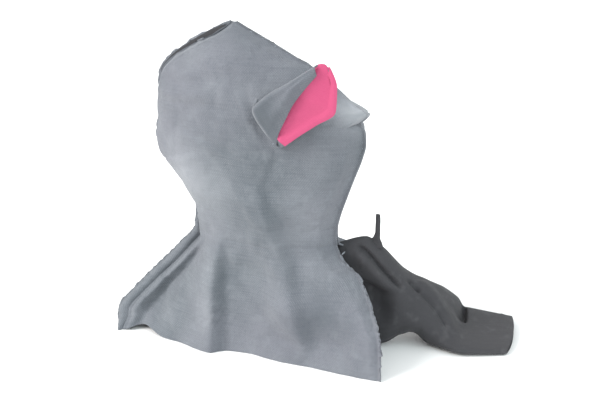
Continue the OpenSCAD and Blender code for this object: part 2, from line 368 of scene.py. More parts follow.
def weave_group() -> bpy.types.NodeTree:
    """Plain weave: threads over and under, each with its own shade.

    Returns:
        Group with outputs Height, Over (which thread is on top) and Shade.
    """
    tree, g, given, out = new_group("plain_weave", [("Vector", "Vector"), ("Threads", "Float")],
                                    [("Height", "Float"), ("Over", "Float"), ("Shade", "Float")])
    scaled, parts = g.scaled(given)
    wave_x = g.math("SINE", g.math("MULTIPLY", parts.outputs[0], math.pi))
    wave_y = g.math("SINE", g.math("MULTIPLY", parts.outputs[1], math.pi))
    product = g.math("MULTIPLY", wave_x, wave_y)
    over = g.math("GREATER_THAN", product, 0.0)
    height = g.math("POWER", g.math("ABSOLUTE", product), 0.5)
    warp = g.noise(scaled, 0.9, 1.0, (1, 0.035, 1))
    weft = g.noise(scaled, 0.9, 1.0, (0.035, 1, 1))
    shade = g.add("Mix", data_type="FLOAT")
    g.join(over, shade.inputs[0])
    g.join(warp, shade.inputs[2])
    g.join(weft, shade.inputs[3])
    g.put_out(out, height, over, shade.outputs[0])
    return tree


def knit_group() -> bpy.types.NodeTree:
    """Fine jersey: columns of small V stitches.

    Returns:
        Group with outputs Height and Shade.
    """
    tree, g, given, out = new_group("jersey_knit", [("Vector", "Vector"), ("Wales", "Float")],
                                    [("Height", "Float"), ("Shade", "Float")])
    scaled, parts = g.scaled(given)
    lean = g.math("ABSOLUTE", g.math("SINE", g.math("MULTIPLY", parts.outputs[0], math.pi)))
    rows = g.math("SINE", g.math("MULTIPLY", g.math("ADD", g.math("MULTIPLY", parts.outputs[1], 1.4),
                                                     g.math("MULTIPLY", lean, 0.6)), 2 * math.pi))
    height = g.math("MULTIPLY", lean, g.math("ADD", g.math("MULTIPLY", rows, 0.3), 0.7))
    shade = g.noise(scaled, 0.35, 2.0, (1, 0.12, 1))
    g.put_out(out, height, shade)
    return tree


def mottle_group() -> bpy.types.NodeTree:
    """Uneven washing: broad clouds, small flecks and pale rubbed spots.

    Returns:
        Group with outputs Cloud, Fleck, Rub and Hue.
    """
    tree, g, given, out = new_group("washed_mottle", [("Vector", "Vector")],
                                    [("Cloud", "Float"), ("Fleck", "Float"), ("Rub", "Float"), ("Hue", "Float")])
    cloud = g.noise(given.outputs[0], 28.0, 3.0)
    fleck = g.noise(given.outputs[0], 420.0, 2.0)
    rub = g.spread(g.noise(given.outputs[0], 95.0, 4.0), 0.56, 0.72)
    hue = g.spread(g.noise(given.outputs[0], 9.0, 2.0), 0.38, 0.62)
    g.put_out(out, cloud, fleck, rub, hue)
    return tree


class Groups:
    """Shared shader groups, each built once."""

    made: dict[str, bpy.types.NodeTree] = {}

    @classmethod
    def get(cls, name: str) -> bpy.types.NodeTree:
        """Group by its short name, built on first use."""
        makers = {"weave": weave_group, "knit": knit_group, "mottle": mottle_group}
        if name not in cls.made:
            cls.made[name] = makers[name]()
        return cls.made[name]


def start_material(name: str, roughness: float, sheen: float) -> tuple[bpy.types.Material, Graph, bpy.types.Node]:
    """Empty material with a Principled shader.

    Args:
        name: Name of the material.
        roughness: Plain roughness.
        sheen: Plain sheen weight.

    Returns:
        The material, its graph and its shader.
    """
    material = bpy.data.materials.new(name)
    material.use_nodes = True
    shader = material.node_tree.nodes["Principled BSDF"]
    for socket, value in (("Roughness", roughness), ("Sheen Weight", sheen), ("Sheen Roughness", 0.5),
                          ("Specular IOR Level", 0.25)):
        shader.inputs[socket].default_value = value
    return material, Graph(material.node_tree), shader


@dataclass(frozen=True)
class WovenFinish:
    """Plain woven cloth with coloured threads.

    Attributes:
        name: Name of the material.
        warp: Colour of the threads along the cloth.
        weft: Colour of the threads across it.
        dark: Colour in the gaps and worn clouds, and of the painted shade.
        pale: Colour of the painted light.
        threads: Threads per metre.
        relief: Height of the weave in metres.
        contrast: Strength of the mottling.
        sheen: Sheen weight.
    """

    name: str
    warp: Colour
    weft: Colour
    dark: Colour
    pale: Colour
    threads: float = 980.0
    relief: float = 0.00022
    contrast: float = 1.0
    sheen: float = 0.15

    def build(self) -> bpy.types.Material:
        """Makes the material.

        Returns:
            The finished material.
        """
        material, g, shader = start_material(self.name, 0.9, self.sheen)
        weave = g.group("weave", g.add("UVMap", uv_map="cloth").outputs[0], Threads=self.threads)
        mottle = g.group("mottle", g.add("TexCoord").outputs["Object"])
        threads = g.mix(weave.outputs["Over"], self.warp, self.weft)
        streak = g.math("MULTIPLY", g.math("SUBTRACT", weave.outputs["Shade"], 0.38), 1.5 * self.contrast)
        streaked = g.mix(g.math("MAXIMUM", streak, 0.0), threads, self.dark)
        gaps = g.mix(g.math("MULTIPLY", g.math("SUBTRACT", 1.0, weave.outputs["Height"]), 0.5), streaked, self.dark)
        clouds = g.math("MULTIPLY", g.math("SUBTRACT", mottle.outputs["Cloud"], 0.42), 1.3 * self.contrast)
        clouded = g.mix(g.math("MAXIMUM", clouds, 0.0), gaps, self.dark)
        tint = tuple(c * k for c, k in zip(self.weft, (1.02, 0.93, 0.99)))
        toned = g.mix(g.math("MULTIPLY", mottle.outputs["Hue"], 0.4 * self.contrast), clouded, tint)
        flecks = g.math("MULTIPLY", g.math("ABSOLUTE", g.math("SUBTRACT", mottle.outputs["Fleck"], 0.5)), 1.2)
        flecked = g.mix(g.math("MULTIPLY", flecks, self.contrast), toned, self.dark)
        rubbed = g.mix(g.math("MULTIPLY", mottle.outputs["Rub"], 0.3 * self.contrast), flecked, self.weft)
        # Painted light and shade: the per-vertex value mixes the cloth towards pale above 0 and towards dark below
        # 0.
        wear = g.add("Attribute", attribute_name="wear").outputs["Fac"]
        painted_lit = g.mix(g.math("MAXIMUM", wear, 0.0), rubbed, self.pale)
        painted_shaded = g.mix(g.math("MAXIMUM", g.math("MULTIPLY", wear, -1.0), 0.0), painted_lit, self.dark)
        rough = g.math("ADD", 0.8, g.math("MULTIPLY", mottle.outputs["Fleck"], 0.2))
        height = g.math("ADD", weave.outputs["Height"], g.math("MULTIPLY", mottle.outputs["Fleck"], 1.4))
        g.dress(shader, painted_shaded, rough, height, self.relief, 0.8)
        return material


@dataclass(frozen=True)
class JerseyFinish:
    """Fine stretch knit with a soft sheen.

    Attributes:
        name: Name of the material.
        face: Colour of the raised stitches.
        gap: Colour between them.
        lint: Colour of the lint on them.
        wales: Columns of stitches per metre.
        relief: Height of the stitches in metres.
    """

    name: str
    face: Colour
    gap: Colour
    lint: Colour = (0.2, 0.2, 0.21)
    wales: float = 1100.0
    relief: float = 0.00018

    def build(self) -> bpy.types.Material:
        """Makes the material.

        Returns:
            The finished material.
        """
        material, g, shader = start_material(self.name, 0.75, 0.06)
        knit = g.group("knit", g.add("UVMap", uv_map="cloth").outputs[0], Wales=self.wales)
        mottle = g.group("mottle", g.add("TexCoord").outputs["Object"])
        face = g.mix(g.math("MULTIPLY", knit.outputs["Height"], 0.8), self.gap, self.face)
        wear_and_painted_shade = g.mix(g.math("MULTIPLY", mottle.outputs["Cloud"], 0.35), face, self.gap)
        linty = g.mix(g.math("MULTIPLY", mottle.outputs["Rub"], 0.12), wear_and_painted_shade, self.lint)
        rough = g.math("ADD", 0.62, g.math("MULTIPLY", knit.outputs["Shade"], 0.25))
        height = g.math("ADD", knit.outputs["Height"], mottle.outputs["Fleck"])
        g.dress(shader, linty, rough, height, self.relief, 0.6)
        return material


@dataclass(frozen=True)
class FibreFinish:
    """Thread, felt, filling or elastic: fibres that follow no weave.

    Attributes:
        name: Name of the material.
        light: Colour of the raised fibres.
        dark: Colour between them.
        grain: Fibres per metre.
        stretch: Factor on each coordinate, to draw the fibres out.
        relief: Height of the fibres in metres.
    """

    name: str
    light: Colour
    dark: Colour
    grain: float = 900.0
    stretch: Sequence[float] = (1, 1, 1)
    relief: float = 0.0002

    def build(self) -> bpy.types.Material:
        """Makes the material.

        Returns:
            The finished material.
        """
        material, g, shader = start_material(self.name, 0.85, 0.2)
        place = g.add("TexCoord").outputs["Object"]
        fibres = g.noise(place, self.grain, 3.0, self.stretch)
        cloud = g.noise(place, self.grain / 12, 2.0)
        tone = g.mix(g.math("MULTIPLY", cloud, 0.3), g.mix(fibres, self.dark, self.light), self.dark)
        g.dress(shader, tone, g.math("ADD", 0.7, g.math("MULTIPLY", fibres, 0.3)), fibres, self.relief, 0.7)
        return material


@dataclass(frozen=True)
class Finishes:
    """Every material of the puppet."""

    woven: bpy.types.Material
    pink: bpy.types.Material
    jersey: bpy.types.Material
    thread: bpy.types.Material
    padding: bpy.types.Material
    felt: bpy.types.Material
    elastic: bpy.types.Material

    @classmethod
    def build(cls) -> "Finishes":
        """Makes every material.

        Returns:
            The finished set.
        """
        return cls(
            woven=WovenFinish("grey_blue_linen", (0.134, 0.149, 0.168), (0.192, 0.207, 0.228),
                              (0.070, 0.082, 0.096), (0.36, 0.375, 0.40)).build(),
            pink=WovenFinish("pink_cotton", (0.49, 0.070, 0.168), (0.55, 0.092, 0.196), (0.38, 0.042, 0.115),
                             (0.70, 0.22, 0.34),
                             threads=1900.0, relief=0.0001, contrast=0.35, sheen=0.1).build(),
            jersey=JerseyFinish("black_jersey_knit", (0.074, 0.073, 0.079), (0.030, 0.030, 0.034)).build(),
            thread=FibreFinish("grey_thread", (0.36, 0.39, 0.43), (0.16, 0.18, 0.21), 2600.0, (1, 1, 0.4)).build(),
            padding=FibreFinish("white_fibre_fill", (0.82, 0.82, 0.80), (0.55, 0.55, 0.53), 420.0,
                                relief=0.0012).build(),
            felt=FibreFinish("pressed_felt", (0.62, 0.60, 0.54), (0.42, 0.40, 0.35), 1100.0).build(),
            elastic=FibreFinish("ribbed_elastic", (0.66, 0.66, 0.64), (0.42, 0.42, 0.41), 700.0,
                                (1, 1, 0.15)).build(),
        )


# ------------------------------------------------------------------- meshes


@dataclass
class Sheet:
    """Grid of cloth with its surface given by a function of u and v.

    Attributes:
        shape: Gives points in millimetres for arrays of u and v.
        columns: Number of cells along u, or the u value of each column.
        rows: Number of cells along v, or the v value of each row.
        wear: Optional function of the points in millimetres: above 0 for
        painted light that makes the cloth paler, below 0 for painted shade that darkens it.
    """

    shape: Shape
    columns: Union[int, np.ndarray]
    rows: Union[int, np.ndarray]
    wear: Optional[Callable[[np.ndarray], np.ndarray]] = None

    def build(self) -> bmesh.types.BMesh:
        """Makes the grid, moves it onto the surface and lays out its cloth map.

        Returns:
            The grid, with a 'row' and a 'column' number on each vertex.
        """
        us, vs = (np.linspace(0, 1, cells + 1) if isinstance(cells, int) else cells
                  for cells in (self.columns, self.rows))
        bm = bmesh.new()
        bmesh.ops.create_grid(bm, x_segments=len(us) - 1, y_segments=len(vs) - 1, size=0.5)
        row_layer = bm.verts.layers.int.new("row")
        column_layer = bm.verts.layers.int.new("column")
        grid_u, grid_v = np.meshgrid(us, vs)
        points = self.shape(grid_u, grid_v) * MM
        flat_u, flat_v = self.cloth_map(points)
        uv = bm.loops.layers.uv.new("cloth")
        for vert in bm.verts:
            i = round((vert.co.y + 0.5) * (len(vs) - 1))
            j = round((vert.co.x + 0.5) * (len(us) - 1))
            vert[row_layer], vert[column_layer] = i, j
        for face in bm.faces:
            for loop in face.loops:
                i, j = loop.vert[row_layer], loop.vert[column_layer]
                loop[uv].uv = (flat_u[i, j], flat_v[i, j])
        # Painted light and shade of each point, kept on the vertices for the woven material.
        painted_shading_layer = bm.verts.layers.float.new("wear")
        wear_and_painted_shade = np.zeros(grid_u.shape) if self.wear is None else self.wear(points / MM)
        for vert in bm.verts:
            vert.co = points[vert[row_layer], vert[column_layer]]
            vert[painted_shading_layer] = float(wear_and_painted_shade[vert[row_layer], vert[column_layer]])
        return bm

    @staticmethod
    def cloth_map(points: np.ndarray) -> tuple[np.ndarray, np.ndarray]:
        """Lengths along the cloth from its middle column and its first row.

        Args:
            points: Grid of points in metres.

        Returns:
            Two arrays of lengths in metres.
        """
        middle = points.shape[1] // 2
        steps_u = np.linalg.norm(np.diff(points, axis=1), axis=2)
        run = np.concatenate([np.zeros((len(points), 1)), np.cumsum(steps_u, axis=1)], axis=1)
        steps_v = np.linalg.norm(np.diff(points[:, middle], axis=0), axis=1)
        rise = np.concatenate([[0], np.cumsum(steps_v)])
        return run - run[:, middle:middle + 1], np.repeat(rise[:, None], points.shape[1], axis=1)


def keep_faces(bm: bmesh.types.BMesh, test: Callable[[bmesh.types.BMFace], bool]) -> bmesh.types.BMesh:
    """Copy of a mesh with only some of its faces.

    Args:
        bm: Mesh to copy.
        test: True for the faces to keep.

    Returns:
        The copy.
    """
    unwanted = [i for i, face in enumerate(bm.faces) if not test(face)]
    part = bm.copy()
    part.faces.ensure_lookup_table()
    bmesh.ops.delete(part, geom=[part.faces[i] for i in unwanted], context="FACES")
    return part


def make_piece(name: str, bm: bmesh.types.BMesh, material: bpy.types.Material) -> bpy.types.Object:
    """Turns a mesh into a smooth, dressed object at the origin.

    Args:
        name: Name of the piece.
        bm: Its mesh, in metres, which is used up.
        material: Its material.

    Returns:
        The object.
    """
    for edge in bm.edges:
        edge.smooth = not edge.is_boundary
    data = bpy.data.meshes.new(name)
    bm.to_mesh(data)
    bm.free()
    data.polygons.foreach_set("use_smooth", [True] * len(data.polygons))
    data.materials.append(material)
    piece = bpy.data.objects.new(name, data)
    bpy.context.scene.collection.objects.link(piece)
    LOG.info("%s: %d faces", name, len(data.polygons))
    return piece


def thicken(piece: bpy.types.Object, thickness: float, offset: float) -> None:
    """Gives a sheet its thickness.

    Args:
        piece: Sheet to change.
        thickness: Cloth thickness in millimetres.
        offset: -1 to grow inwards from the sheet, 1 outwards, 0 both ways.
    """
    solid = piece.modifiers.new("cloth_thickness", "SOLIDIFY")
    solid.thickness = thickness * MM
    solid.offset = offset
    solid.use_even_offset = False


def cylinder_between(bm: bmesh.types.BMesh, a: Vector, b: Vector, radius: float, sides: int = 6) -> None:
    """Adds a small closed bar between two points.

    Args:
        bm: Mesh to add to.
        a: Start in metres.
        b: End in metres.
        radius: Radius in metres.
        sides: Number of sides.
    """
    way = b - a
    turn = way.to_track_quat("Z", "Y").to_matrix().to_4x4()
    place = Matrix.Translation((a + b) / 2) @ turn
    bmesh.ops.create_cone(bm, cap_ends=True, segments=sides, radius1=radius, radius2=radius,
                          depth=way.length, matrix=place)


def swept_tube(route: Sequence[Vector], radius: float, sides: int = 6) -> bmesh.types.BMesh:
    """Tube with rounded joints along a route.

    Args:
        route: Points in metres.
        radius: Radius in metres.
        sides: Number of sides.

    Returns:
        The closed tube.
    """
    bm = bmesh.new()
    rings = []
    for i, point in enumerate(route):
        ahead = route[min(i + 1, len(route) - 1)] - route[max(i - 1, 0)]
        turn = ahead.to_track_quat("Z", "Y").to_matrix().to_4x4()
        made = bmesh.ops.create_circle(bm, segments=sides, radius=radius, matrix=Matrix.Translation(point) @ turn)
        rings.append(made["verts"])
    for a, b in zip(rings, rings[1:]):
        edges = [e for ring in (a, b) for v in ring for e in v.link_edges if e.other_vert(v) in ring]
        bmesh.ops.bridge_loops(bm, edges=list(set(edges)))
    for ring in (rings[0], rings[-1]):
        bmesh.ops.contextual_create(bm, geom=ring)
    bmesh.ops.recalc_face_normals(bm, faces=bm.faces[:])
    return bm


@dataclass
class Drape:
    """Short cloth simulation that lets a pinned sheet settle into small folds.

    Attributes:
        frames: Last frame of the simulation.
        slack: Share by which the cloth is longer than its pattern.
        hold: Share of the goal pull on free cloth.
        cap: Greatest distance that a point may move, in millimetres.
        gravity: Share of the weight that pulls on the cloth.
        settings: Other cloth settings by name.
    """

    frames: int = 16
    slack: float = 0.014
    hold: float = 0.3
    cap: float = 2.6
    gravity: float = 0.25
    settings: dict[str, float] = field(default_factory=lambda: {
        "quality": 5, "mass": 0.12, "tension_stiffness": 20, "compression_stiffness": 20,
        "shear_stiffness": 8, "bending_stiffness": 1.2, "pin_stiffness": 1.0})

    def settle(self, bm: bmesh.types.BMesh, pinned: Callable[[bmesh.types.BMVert], float]) -> None:
        """Runs the cloth and moves the sheet's own points.

        Args:
            bm: Sheet to settle.
            pinned: Share from 0 to 1 by which a vertex is held.
        """
        bm.verts.ensure_lookup_table()
        data = bpy.data.meshes.new("drape")
        bm.to_mesh(data)
        sheet = bpy.data.objects.new("drape", data)
        bpy.context.scene.collection.objects.link(sheet)
        group = sheet.vertex_groups.new(name="held")
        for vert in bm.verts:
            group.add([vert.index], max(self.hold, pinned(vert)), "REPLACE")
        cloth = sheet.modifiers.new("cloth", "CLOTH")
        for name, value in self.settings.items():
            setattr(cloth.settings, name, value)
        cloth.settings.shrink_min = -self.slack
        cloth.settings.vertex_group_mass = "held"
        cloth.settings.effector_weights.gravity = self.gravity
        cloth.point_cache.frame_start = 1
        cloth.point_cache.frame_end = self.frames
        scene = bpy.context.scene
        for step in range(1, self.frames + 1):
            scene.frame_set(step)
        settled = sheet.evaluated_get(bpy.context.evaluated_depsgraph_get())
        moved = np.array([v.co for v in settled.data.vertices])
        start = np.array([v.co for v in bm.verts])
        shift = moved - start
        length = np.linalg.norm(shift, axis=1, keepdims=True)
        shift *= np.minimum(1.0, self.cap * MM / np.maximum(length, TINY))
        for vert, place in zip(bm.verts, start + shift):
            vert.co = place
        bpy.data.objects.remove(sheet)
        bpy.data.meshes.remove(data)
        scene.frame_set(1)


# ------------------------------------------------------------------- panels

FIN = Profile((0, 6), (12, 13), (60, 14), (88, 12), (98, 5), (140, 2.6), (226, 2.6), (236, 3.6), (250, 6),
              (262, 9), (270, 12), (276, 9), (281, 3))
BACK_EDGE = Profile((0, -133), (10, -138), (16, -140), (30, -131), (45, -119), (61, -104), (77, -90),
                    (93, -76), (98, -74), (112, -73), (120, -74), (138, -84), (152, -96), (168, -110),
                    (178, -112), (200, -108), (216, -108), (234, -106), (246, -97), (261, -76),
                    (270, -60), (277, -45), (281, -34))
FRONT_LOW = ((0, 124), (29, 119), (53, 107), (66, 97), (76, 90), (84, 75), (93, 68), (98, 66), (112, 66),
             (122, 68), (140, 74), (159, 81), (175, 87))
FRONT_HIGH = ((225, 74), (233, 64), (241, 53), (249, 41), (255, 28), (261, 16), (272, -7), (278, -20),
              (281, -26))
FRONT_EDGE = Profile(*FRONT_LOW, (188, 90), (198, 89.5), (203, 87), (205, 84.5), (208, 88.5), (214, 93),
                     (219, 82), *FRONT_HIGH)
CALM_FRONT = Profile(*FRONT_LOW, (190, 90.5), (205, 92), (214, 93), (219, 83), *FRONT_HIGH)
FAR_FRONT_EDGE = Profile((0, 80), (60, 84), (76, 80), (98, 66))
BACK_SEAM = Profile((0, -46), (16, -34), (30, -25), (45, -16), (61, -9), (77, -3), (93, 0), (98, 0))
HEAD_BULGE = ((98, 30), (112, 31), (140, 35), (190, 37), (220, 35), (245, 28), (262, 18), (275, 8), (281, 3))
ROUND = 0.6
ROUNDNESS = Profile((0, 0.42), (98, ROUND), (281, ROUND))
NECK_Z, HEAD_Z, MOUTH_Z, TOP_Z = 98.0, 141.0, 205.0, 281.0
MOUTH_CORNER = Vector((46, 0, 205))
THROAT_NORMAL = Vector((0.913, 0, 0.408))
CLOTH = 1.4


class Band(Enum):
    """Lengths of a panel, from the hem up, and the part cut out for the jaw."""

    SKIRT = 0
    NECK = 1
    LOWER_HEAD = 2
    UPPER_HEAD = 3
    JAW = 4


@dataclass
class Panel:
    """One woven side of the puppet, from the hem to the crown.

    Attributes:
        side: Side of the seams.
        bulge: Depth beyond the seams by height.
        seam_back: Y of the back seam by height.
        seam_front: Y of the front edge by height.
        front: X of the front edge below the neck.
        flange: Width of the flat seam edge in millimetres.
    """

    side: Side
    bulge: Profile
    seam_back: Profile
    seam_front: Profile
    front: Profile
    flange: float = 2.6

    @classmethod
    def near(cls) -> "Panel":
        """Panel on the near side, whose skirt hangs straight to the floor."""
        return cls(Side.NEAR, Profile((0, 1), (30, 11), (60, 24), *HEAD_BULGE), BACK_SEAM,
                   Profile((0, -40), (35, -28), (53, -19), (66, -11), (84, -3), (93, 0), (98, 0)), FRONT_EDGE)

    @classmethod
    def far(cls) -> "Panel":
        """Panel on the far side, whose skirt spreads over the sleeve."""
        return cls(Side.FAR, Profile((0, 44), (30, 36), (60, 27), *HEAD_BULGE), BACK_SEAM,
                   Profile((0, 42), (60, 34), (88, 22), (98, 4), (106, 0)), FAR_FRONT_EDGE)

    def front_x(self, z: np.ndarray) -> np.ndarray:
        """X of the front edge at any height."""
        return np.where(z > NECK_Z, FRONT_EDGE(z), self.front(z))

    def depth(self, x: np.ndarray, z: np.ndarray, s: np.ndarray) -> np.ndarray:
        """Distance from the seam's plane to the outside of the cloth.

        Args:
            x: X of the points.
            z: Height of the points.
            s: Share of the way from the back edge to the front edge.

        Returns:
            Depth in millimetres, away from the other panel.
        """
        width = self.front_x(z) - BACK_EDGE(z)
        calm = np.where(z > 150, CALM_FRONT(z), self.front_x(z))
        t = np.clip((x - BACK_EDGE(z)) / (calm - BACK_EDGE(z)), 0, 1)
        edge = np.minimum(s, 1 - s) * width
        lip = 9 - 5.5 * bump(z - 205, 14)
        swell = (4 * t * (1 - t)) ** ROUNDNESS(z) * smooth((edge - self.flange + 1) / lip) ** 0.7
        vent = bump((1 - s) * width - 9, 1.6) * smooth((z - 56) / 8) * smooth((106 - z) / 8)
        vent = vent if self.side is Side.NEAR else 0
        quiet = smooth((edge - 2) / 16)
        folds = self.near_folds(x, z) if self.side is Side.NEAR else self.far_folds(x, z)
        gathers = 0.35 * np.sin(x / 2.4 + 2 * np.sin(x / 23)) * bump(z - 101, 8) * smooth(edge / 8)
        total = 0.2 + CLOTH + self.bulge(z) * swell + quiet * folds + gathers
        return total - 0.7 * bump(z - NECK_Z, 2.0) - 1.5 * vent - 0.9 * bump(edge - 3.4, 1.0)

    @staticmethod
    def near_folds(x: np.ndarray, z: np.ndarray) -> np.ndarray:
        """Folds and dents of the near panel.

        Args:
            x: X of the points.
            z: Height of the points.

        Returns:
            Height of the folds in millimetres.
        """
        total = 0.8 * ripple(x, z, 62, 1.3) + 0.3 * ripple(x, z, 19, 4.1)
        pleat_x = Profile((0, -30), (53, -32), (85, -33), (110, -30))(z)
        off = x - pleat_x
        drape = Profile((0, 1), (70, 0.95), (90, 0.5), (104, 0))(z)
        total += drape * 10 * np.where(off < 0, bump(off, 28), bump(off, 5.5))
        off = x - Profile((0, -114), (40, -95), (75, -68), (96, -57))(z)
        valley = np.where(off < 0, bump(off, 8), bump(off, 18))
        total -= Profile((0, 8), (20, 13.5), (66, 14.5), (90, 7), (110, 0))(z) * valley
        ridge_x = Profile((20, 52), (31, 49), (66, 39), (108, 21), (150, 8))(z)
        off = x - ridge_x
        ridge = np.where(off < 0, bump(off, 20), bump(off, 6.5))
        total += 7.5 * ridge * smooth((z - 2) / 25) * smooth((165 - z) / 50)
        total -= 6.5 * bump(x - 78, 22) * bump(z - 46, 26)
        total -= 4.0 * bump(x - 2, 18) * smooth((95 - z) / 30)
        total += (3.5 * bump(z - 50, 15) - 4.5 * bump(z - 20, 11)) * smooth((x - 8) / 24) * smooth((104 - x) / 20)
        total -= 3.0 * bump(x - 34, 20) * bump(z - 150, 34)
        total += 3.5 * bump(x + 62, 17) * bump(z - 150, 40)
        total -= 3.5 * bump(x + 26, 17) * bump(z - 166, 32)
        for a, b, rise, fall in (((-92, 226), (-62, 227), 2.4, 2.2), ((-62, 227), (-34, 232), 2.2, 2.0)):
            off, t = along(x, z, a, b)
            total += (rise * bump(off - 4, 6) - fall * bump(off + 4, 7)) * window(t)
        off, t = along(x, z, (-60, 262), (-4, 254))
        total += 1.6 * bump(off - 5, 7) * window(t)
        for a, b, size in (((-4, 224), (12, 200), 1.5), ((2, 214), (16, 190), 1.2), ((-16, 206), (6, 188), 0.9),
                           ((22, 182), (14, 158), 1.0), ((-60, 190), (-20, 176), 0.9),
                           ((-90, 160), (-52, 172), 1.0), ((-96, 196), (-66, 204), 0.8)):
            off, t = along(x, z, a, b)
            total += size * (bump(off - 2, 3.5) - 0.8 * bump(off + 3, 4)) * window(t, 0.35)
        return total

    @staticmethod
    def far_folds(x: np.ndarray, z: np.ndarray) -> np.ndarray:
        """Folds and dents of the far panel.

        Args:
            x: X of the points.
            z: Height of the points.

        Returns:
            Height of the folds in millimetres.
        """
        total = 0.6 * ripple(x, z, 44, 7.7) + 0.3 * ripple(x, z, 19, 2.9)
        low = smooth((100 - z) / 50)
        total += low * 3.4 * np.sin(x / 15.5 + 0.8 * np.sin(z / 31)) * smooth((z + 12) / 30)
        for a, b, size in (((-70, 118), (-30, 160), 1.6), ((40, 118), (8, 152), 1.5), ((-88, 214), (-44, 222), 1.4),
                           ((10, 226), (30, 196), 1.4), ((-4, 232), (6, 204), 1.0)):
            off, t = along(x, z, a, b)
            total += size * (bump(off - 2, 5) - 0.7 * bump(off + 5, 6)) * window(t, 0.35)
        return total

    def shape(self, u: np.ndarray, v: np.ndarray) -> np.ndarray:
        """Surface of the panel, from the back edge and the hem.

        Args:
            u: From the back edge, 0, to the front edge, 1.
            v: Height as a share of the whole.

        Returns:
            Points in millimetres.
        """
        z = v * TOP_Z
        back, front = BACK_EDGE(z), self.front_x(z)
        wrap = 0.045
        inset = FIN(z)
        if self.side is Side.NEAR:
            start = inset / (front - back)
            s = start + (1 - start) * 0.5 * (1 - np.cos(math.pi * u))
        else:
            s = np.maximum(0, (u - wrap) / (1 - wrap))
            s = 0.5 * (1 - np.cos(math.pi * s))
        x = mix(back, front, s)
        depth = self.depth(x, z, s if self.side is Side.FAR else (s - start) / (1 - start))
        seam = mix(self.seam_back(z), self.seam_front(z), s)
        y = seam + self.side.value * depth
        if self.side is Side.FAR:
            turn = np.clip(u / wrap, 0, 1)
            x = np.where(u < wrap, back + inset * (1 - turn), x)
            gape = smooth((z - 232) / 8) * smooth((280 - z) / 5)
            roll = Profile((0, 5), (88, 4.5), (100, 1.5), (281, 0.5))(z) * np.sin(math.pi * turn) * (u < wrap)
            y = np.where(u < wrap, mix(self.seam_back(z) - 0.6 + 3.4 * gape, y, smooth(turn)), y) - roll
        else:
            gape = smooth((z - 232) / 14) * smooth((280 - z) / 6)
            y = y - 2.6 * gape * bump(s - start, 0.05)
        frayed = np.sin(z * 2.05 + 2.5 * np.sin(z * 0.31)) + 0.5 * np.sin(z * 4.7 + 1)
        x = x - 0.5 * (frayed + 0.8) * smooth((94 - z) / 8) * smooth((u - 0.97) / 0.03)
        lift = 7 * bump(x + 105, 15) * smooth((42 - z) / 42) if self.side is Side.NEAR else 0
        return np.stack([x, y, z + lift], axis=-1)

    def wear(self, points: np.ndarray) -> np.ndarray:
        """Painted light and shade: a painted highlight on the snout and the back of the neck, painted shade in the
        hollows and a painted shadow line along the back seam.

        Args:
            points: Points in millimetres.

        Returns:
            Painted light (above 0) and painted shade (below 0) at each point.
        """
        x, _, z = np.moveaxis(points, -1, 0)
        # Painted highlight on the snout, where the light falls brightest.
        total = 0.85 * bump(x - 88, 20) * bump(z - 222, 17) + 0.05
        # Patches of painted light (above 0) and painted shade (below 0) on the near panel: x, z, width, height and
        # strength.
        patches = ((-50, 142, 24, 32, 0.36), (-72, 152, 18, 22, 0.26), (-39, 45, 9, 34, 0.22),
                   (45, 122, 18, 22, 0.12), (68, 44, 22, 12, -0.45), (48, 32, 18, 10, -0.25),
                   (91, 30, 12, 12, -0.15), (-6, 262, 26, 16, -0.3), (-14, 198, 22, 22, -0.15),
                   (4, 158, 20, 30, -0.15), (-26, 38, 5, 34, -0.2), (-90, 226, 24, 5, -0.2))
        for px, pz, wide, high, size in patches if self.side is Side.NEAR else ():
            total += size * bump(x - px, wide) * bump(z - pz, high)
        # Painted shadow line in the groove along the back seam.
        total -= 0.6 * bump(x - BACK_EDGE(z) - FIN(z) - 1.8, 0.9) * smooth((z - 105) / 12)
        return np.clip(total + 0.05 * ripple(x, z, 31, 6.0), -0.7, 0.85)

    def rows(self) -> np.ndarray:
        """Heights of the grid's rows, with one on each line where the panel parts."""
        limits = ((0, NECK_Z, 62), (NECK_Z, HEAD_Z, 20), (HEAD_Z, MOUTH_Z, 26), (MOUTH_Z, TOP_Z, 34))
        return np.concatenate([[0]] + [np.linspace(a, b, n)[1:] for a, b, n in limits]) / TOP_Z

    def build(self) -> dict[Band, bmesh.types.BMesh]:
        """Drapes the whole panel and parts it.

        Returns:
            The parts, the two lengths of the head joined into one.
        """
        rows = self.rows()
        columns = np.linspace(0, 1, 85)
        if self.side is Side.FAR:
            columns = np.concatenate([np.linspace(0, 0.045, 5), np.linspace(0.045, 1, 83)[1:]])
        bm = Sheet(self.shape, columns, rows, self.wear).build()
        row_layer, column_layer = bm.verts.layers.int["row"], bm.verts.layers.int["column"]
        band_layer = bm.faces.layers.int.new("band")
        limits = (NECK_Z, HEAD_Z, MOUTH_Z)
        last = len(columns) - 1

        def held(vert: bmesh.types.BMVert) -> float:
            """Share by which a point is held while the cloth settles."""
            z = rows[vert[row_layer]] * TOP_Z
            from_edge = min(vert[column_layer], last - vert[column_layer])
            edge = 1 - min(1, max(0, from_edge - 3) / 4)
            elastic = math.exp(-((z - 104) / 9) ** 2)
            hem = 1 - min(1, z / 8)
            return max(edge, elastic, hem)

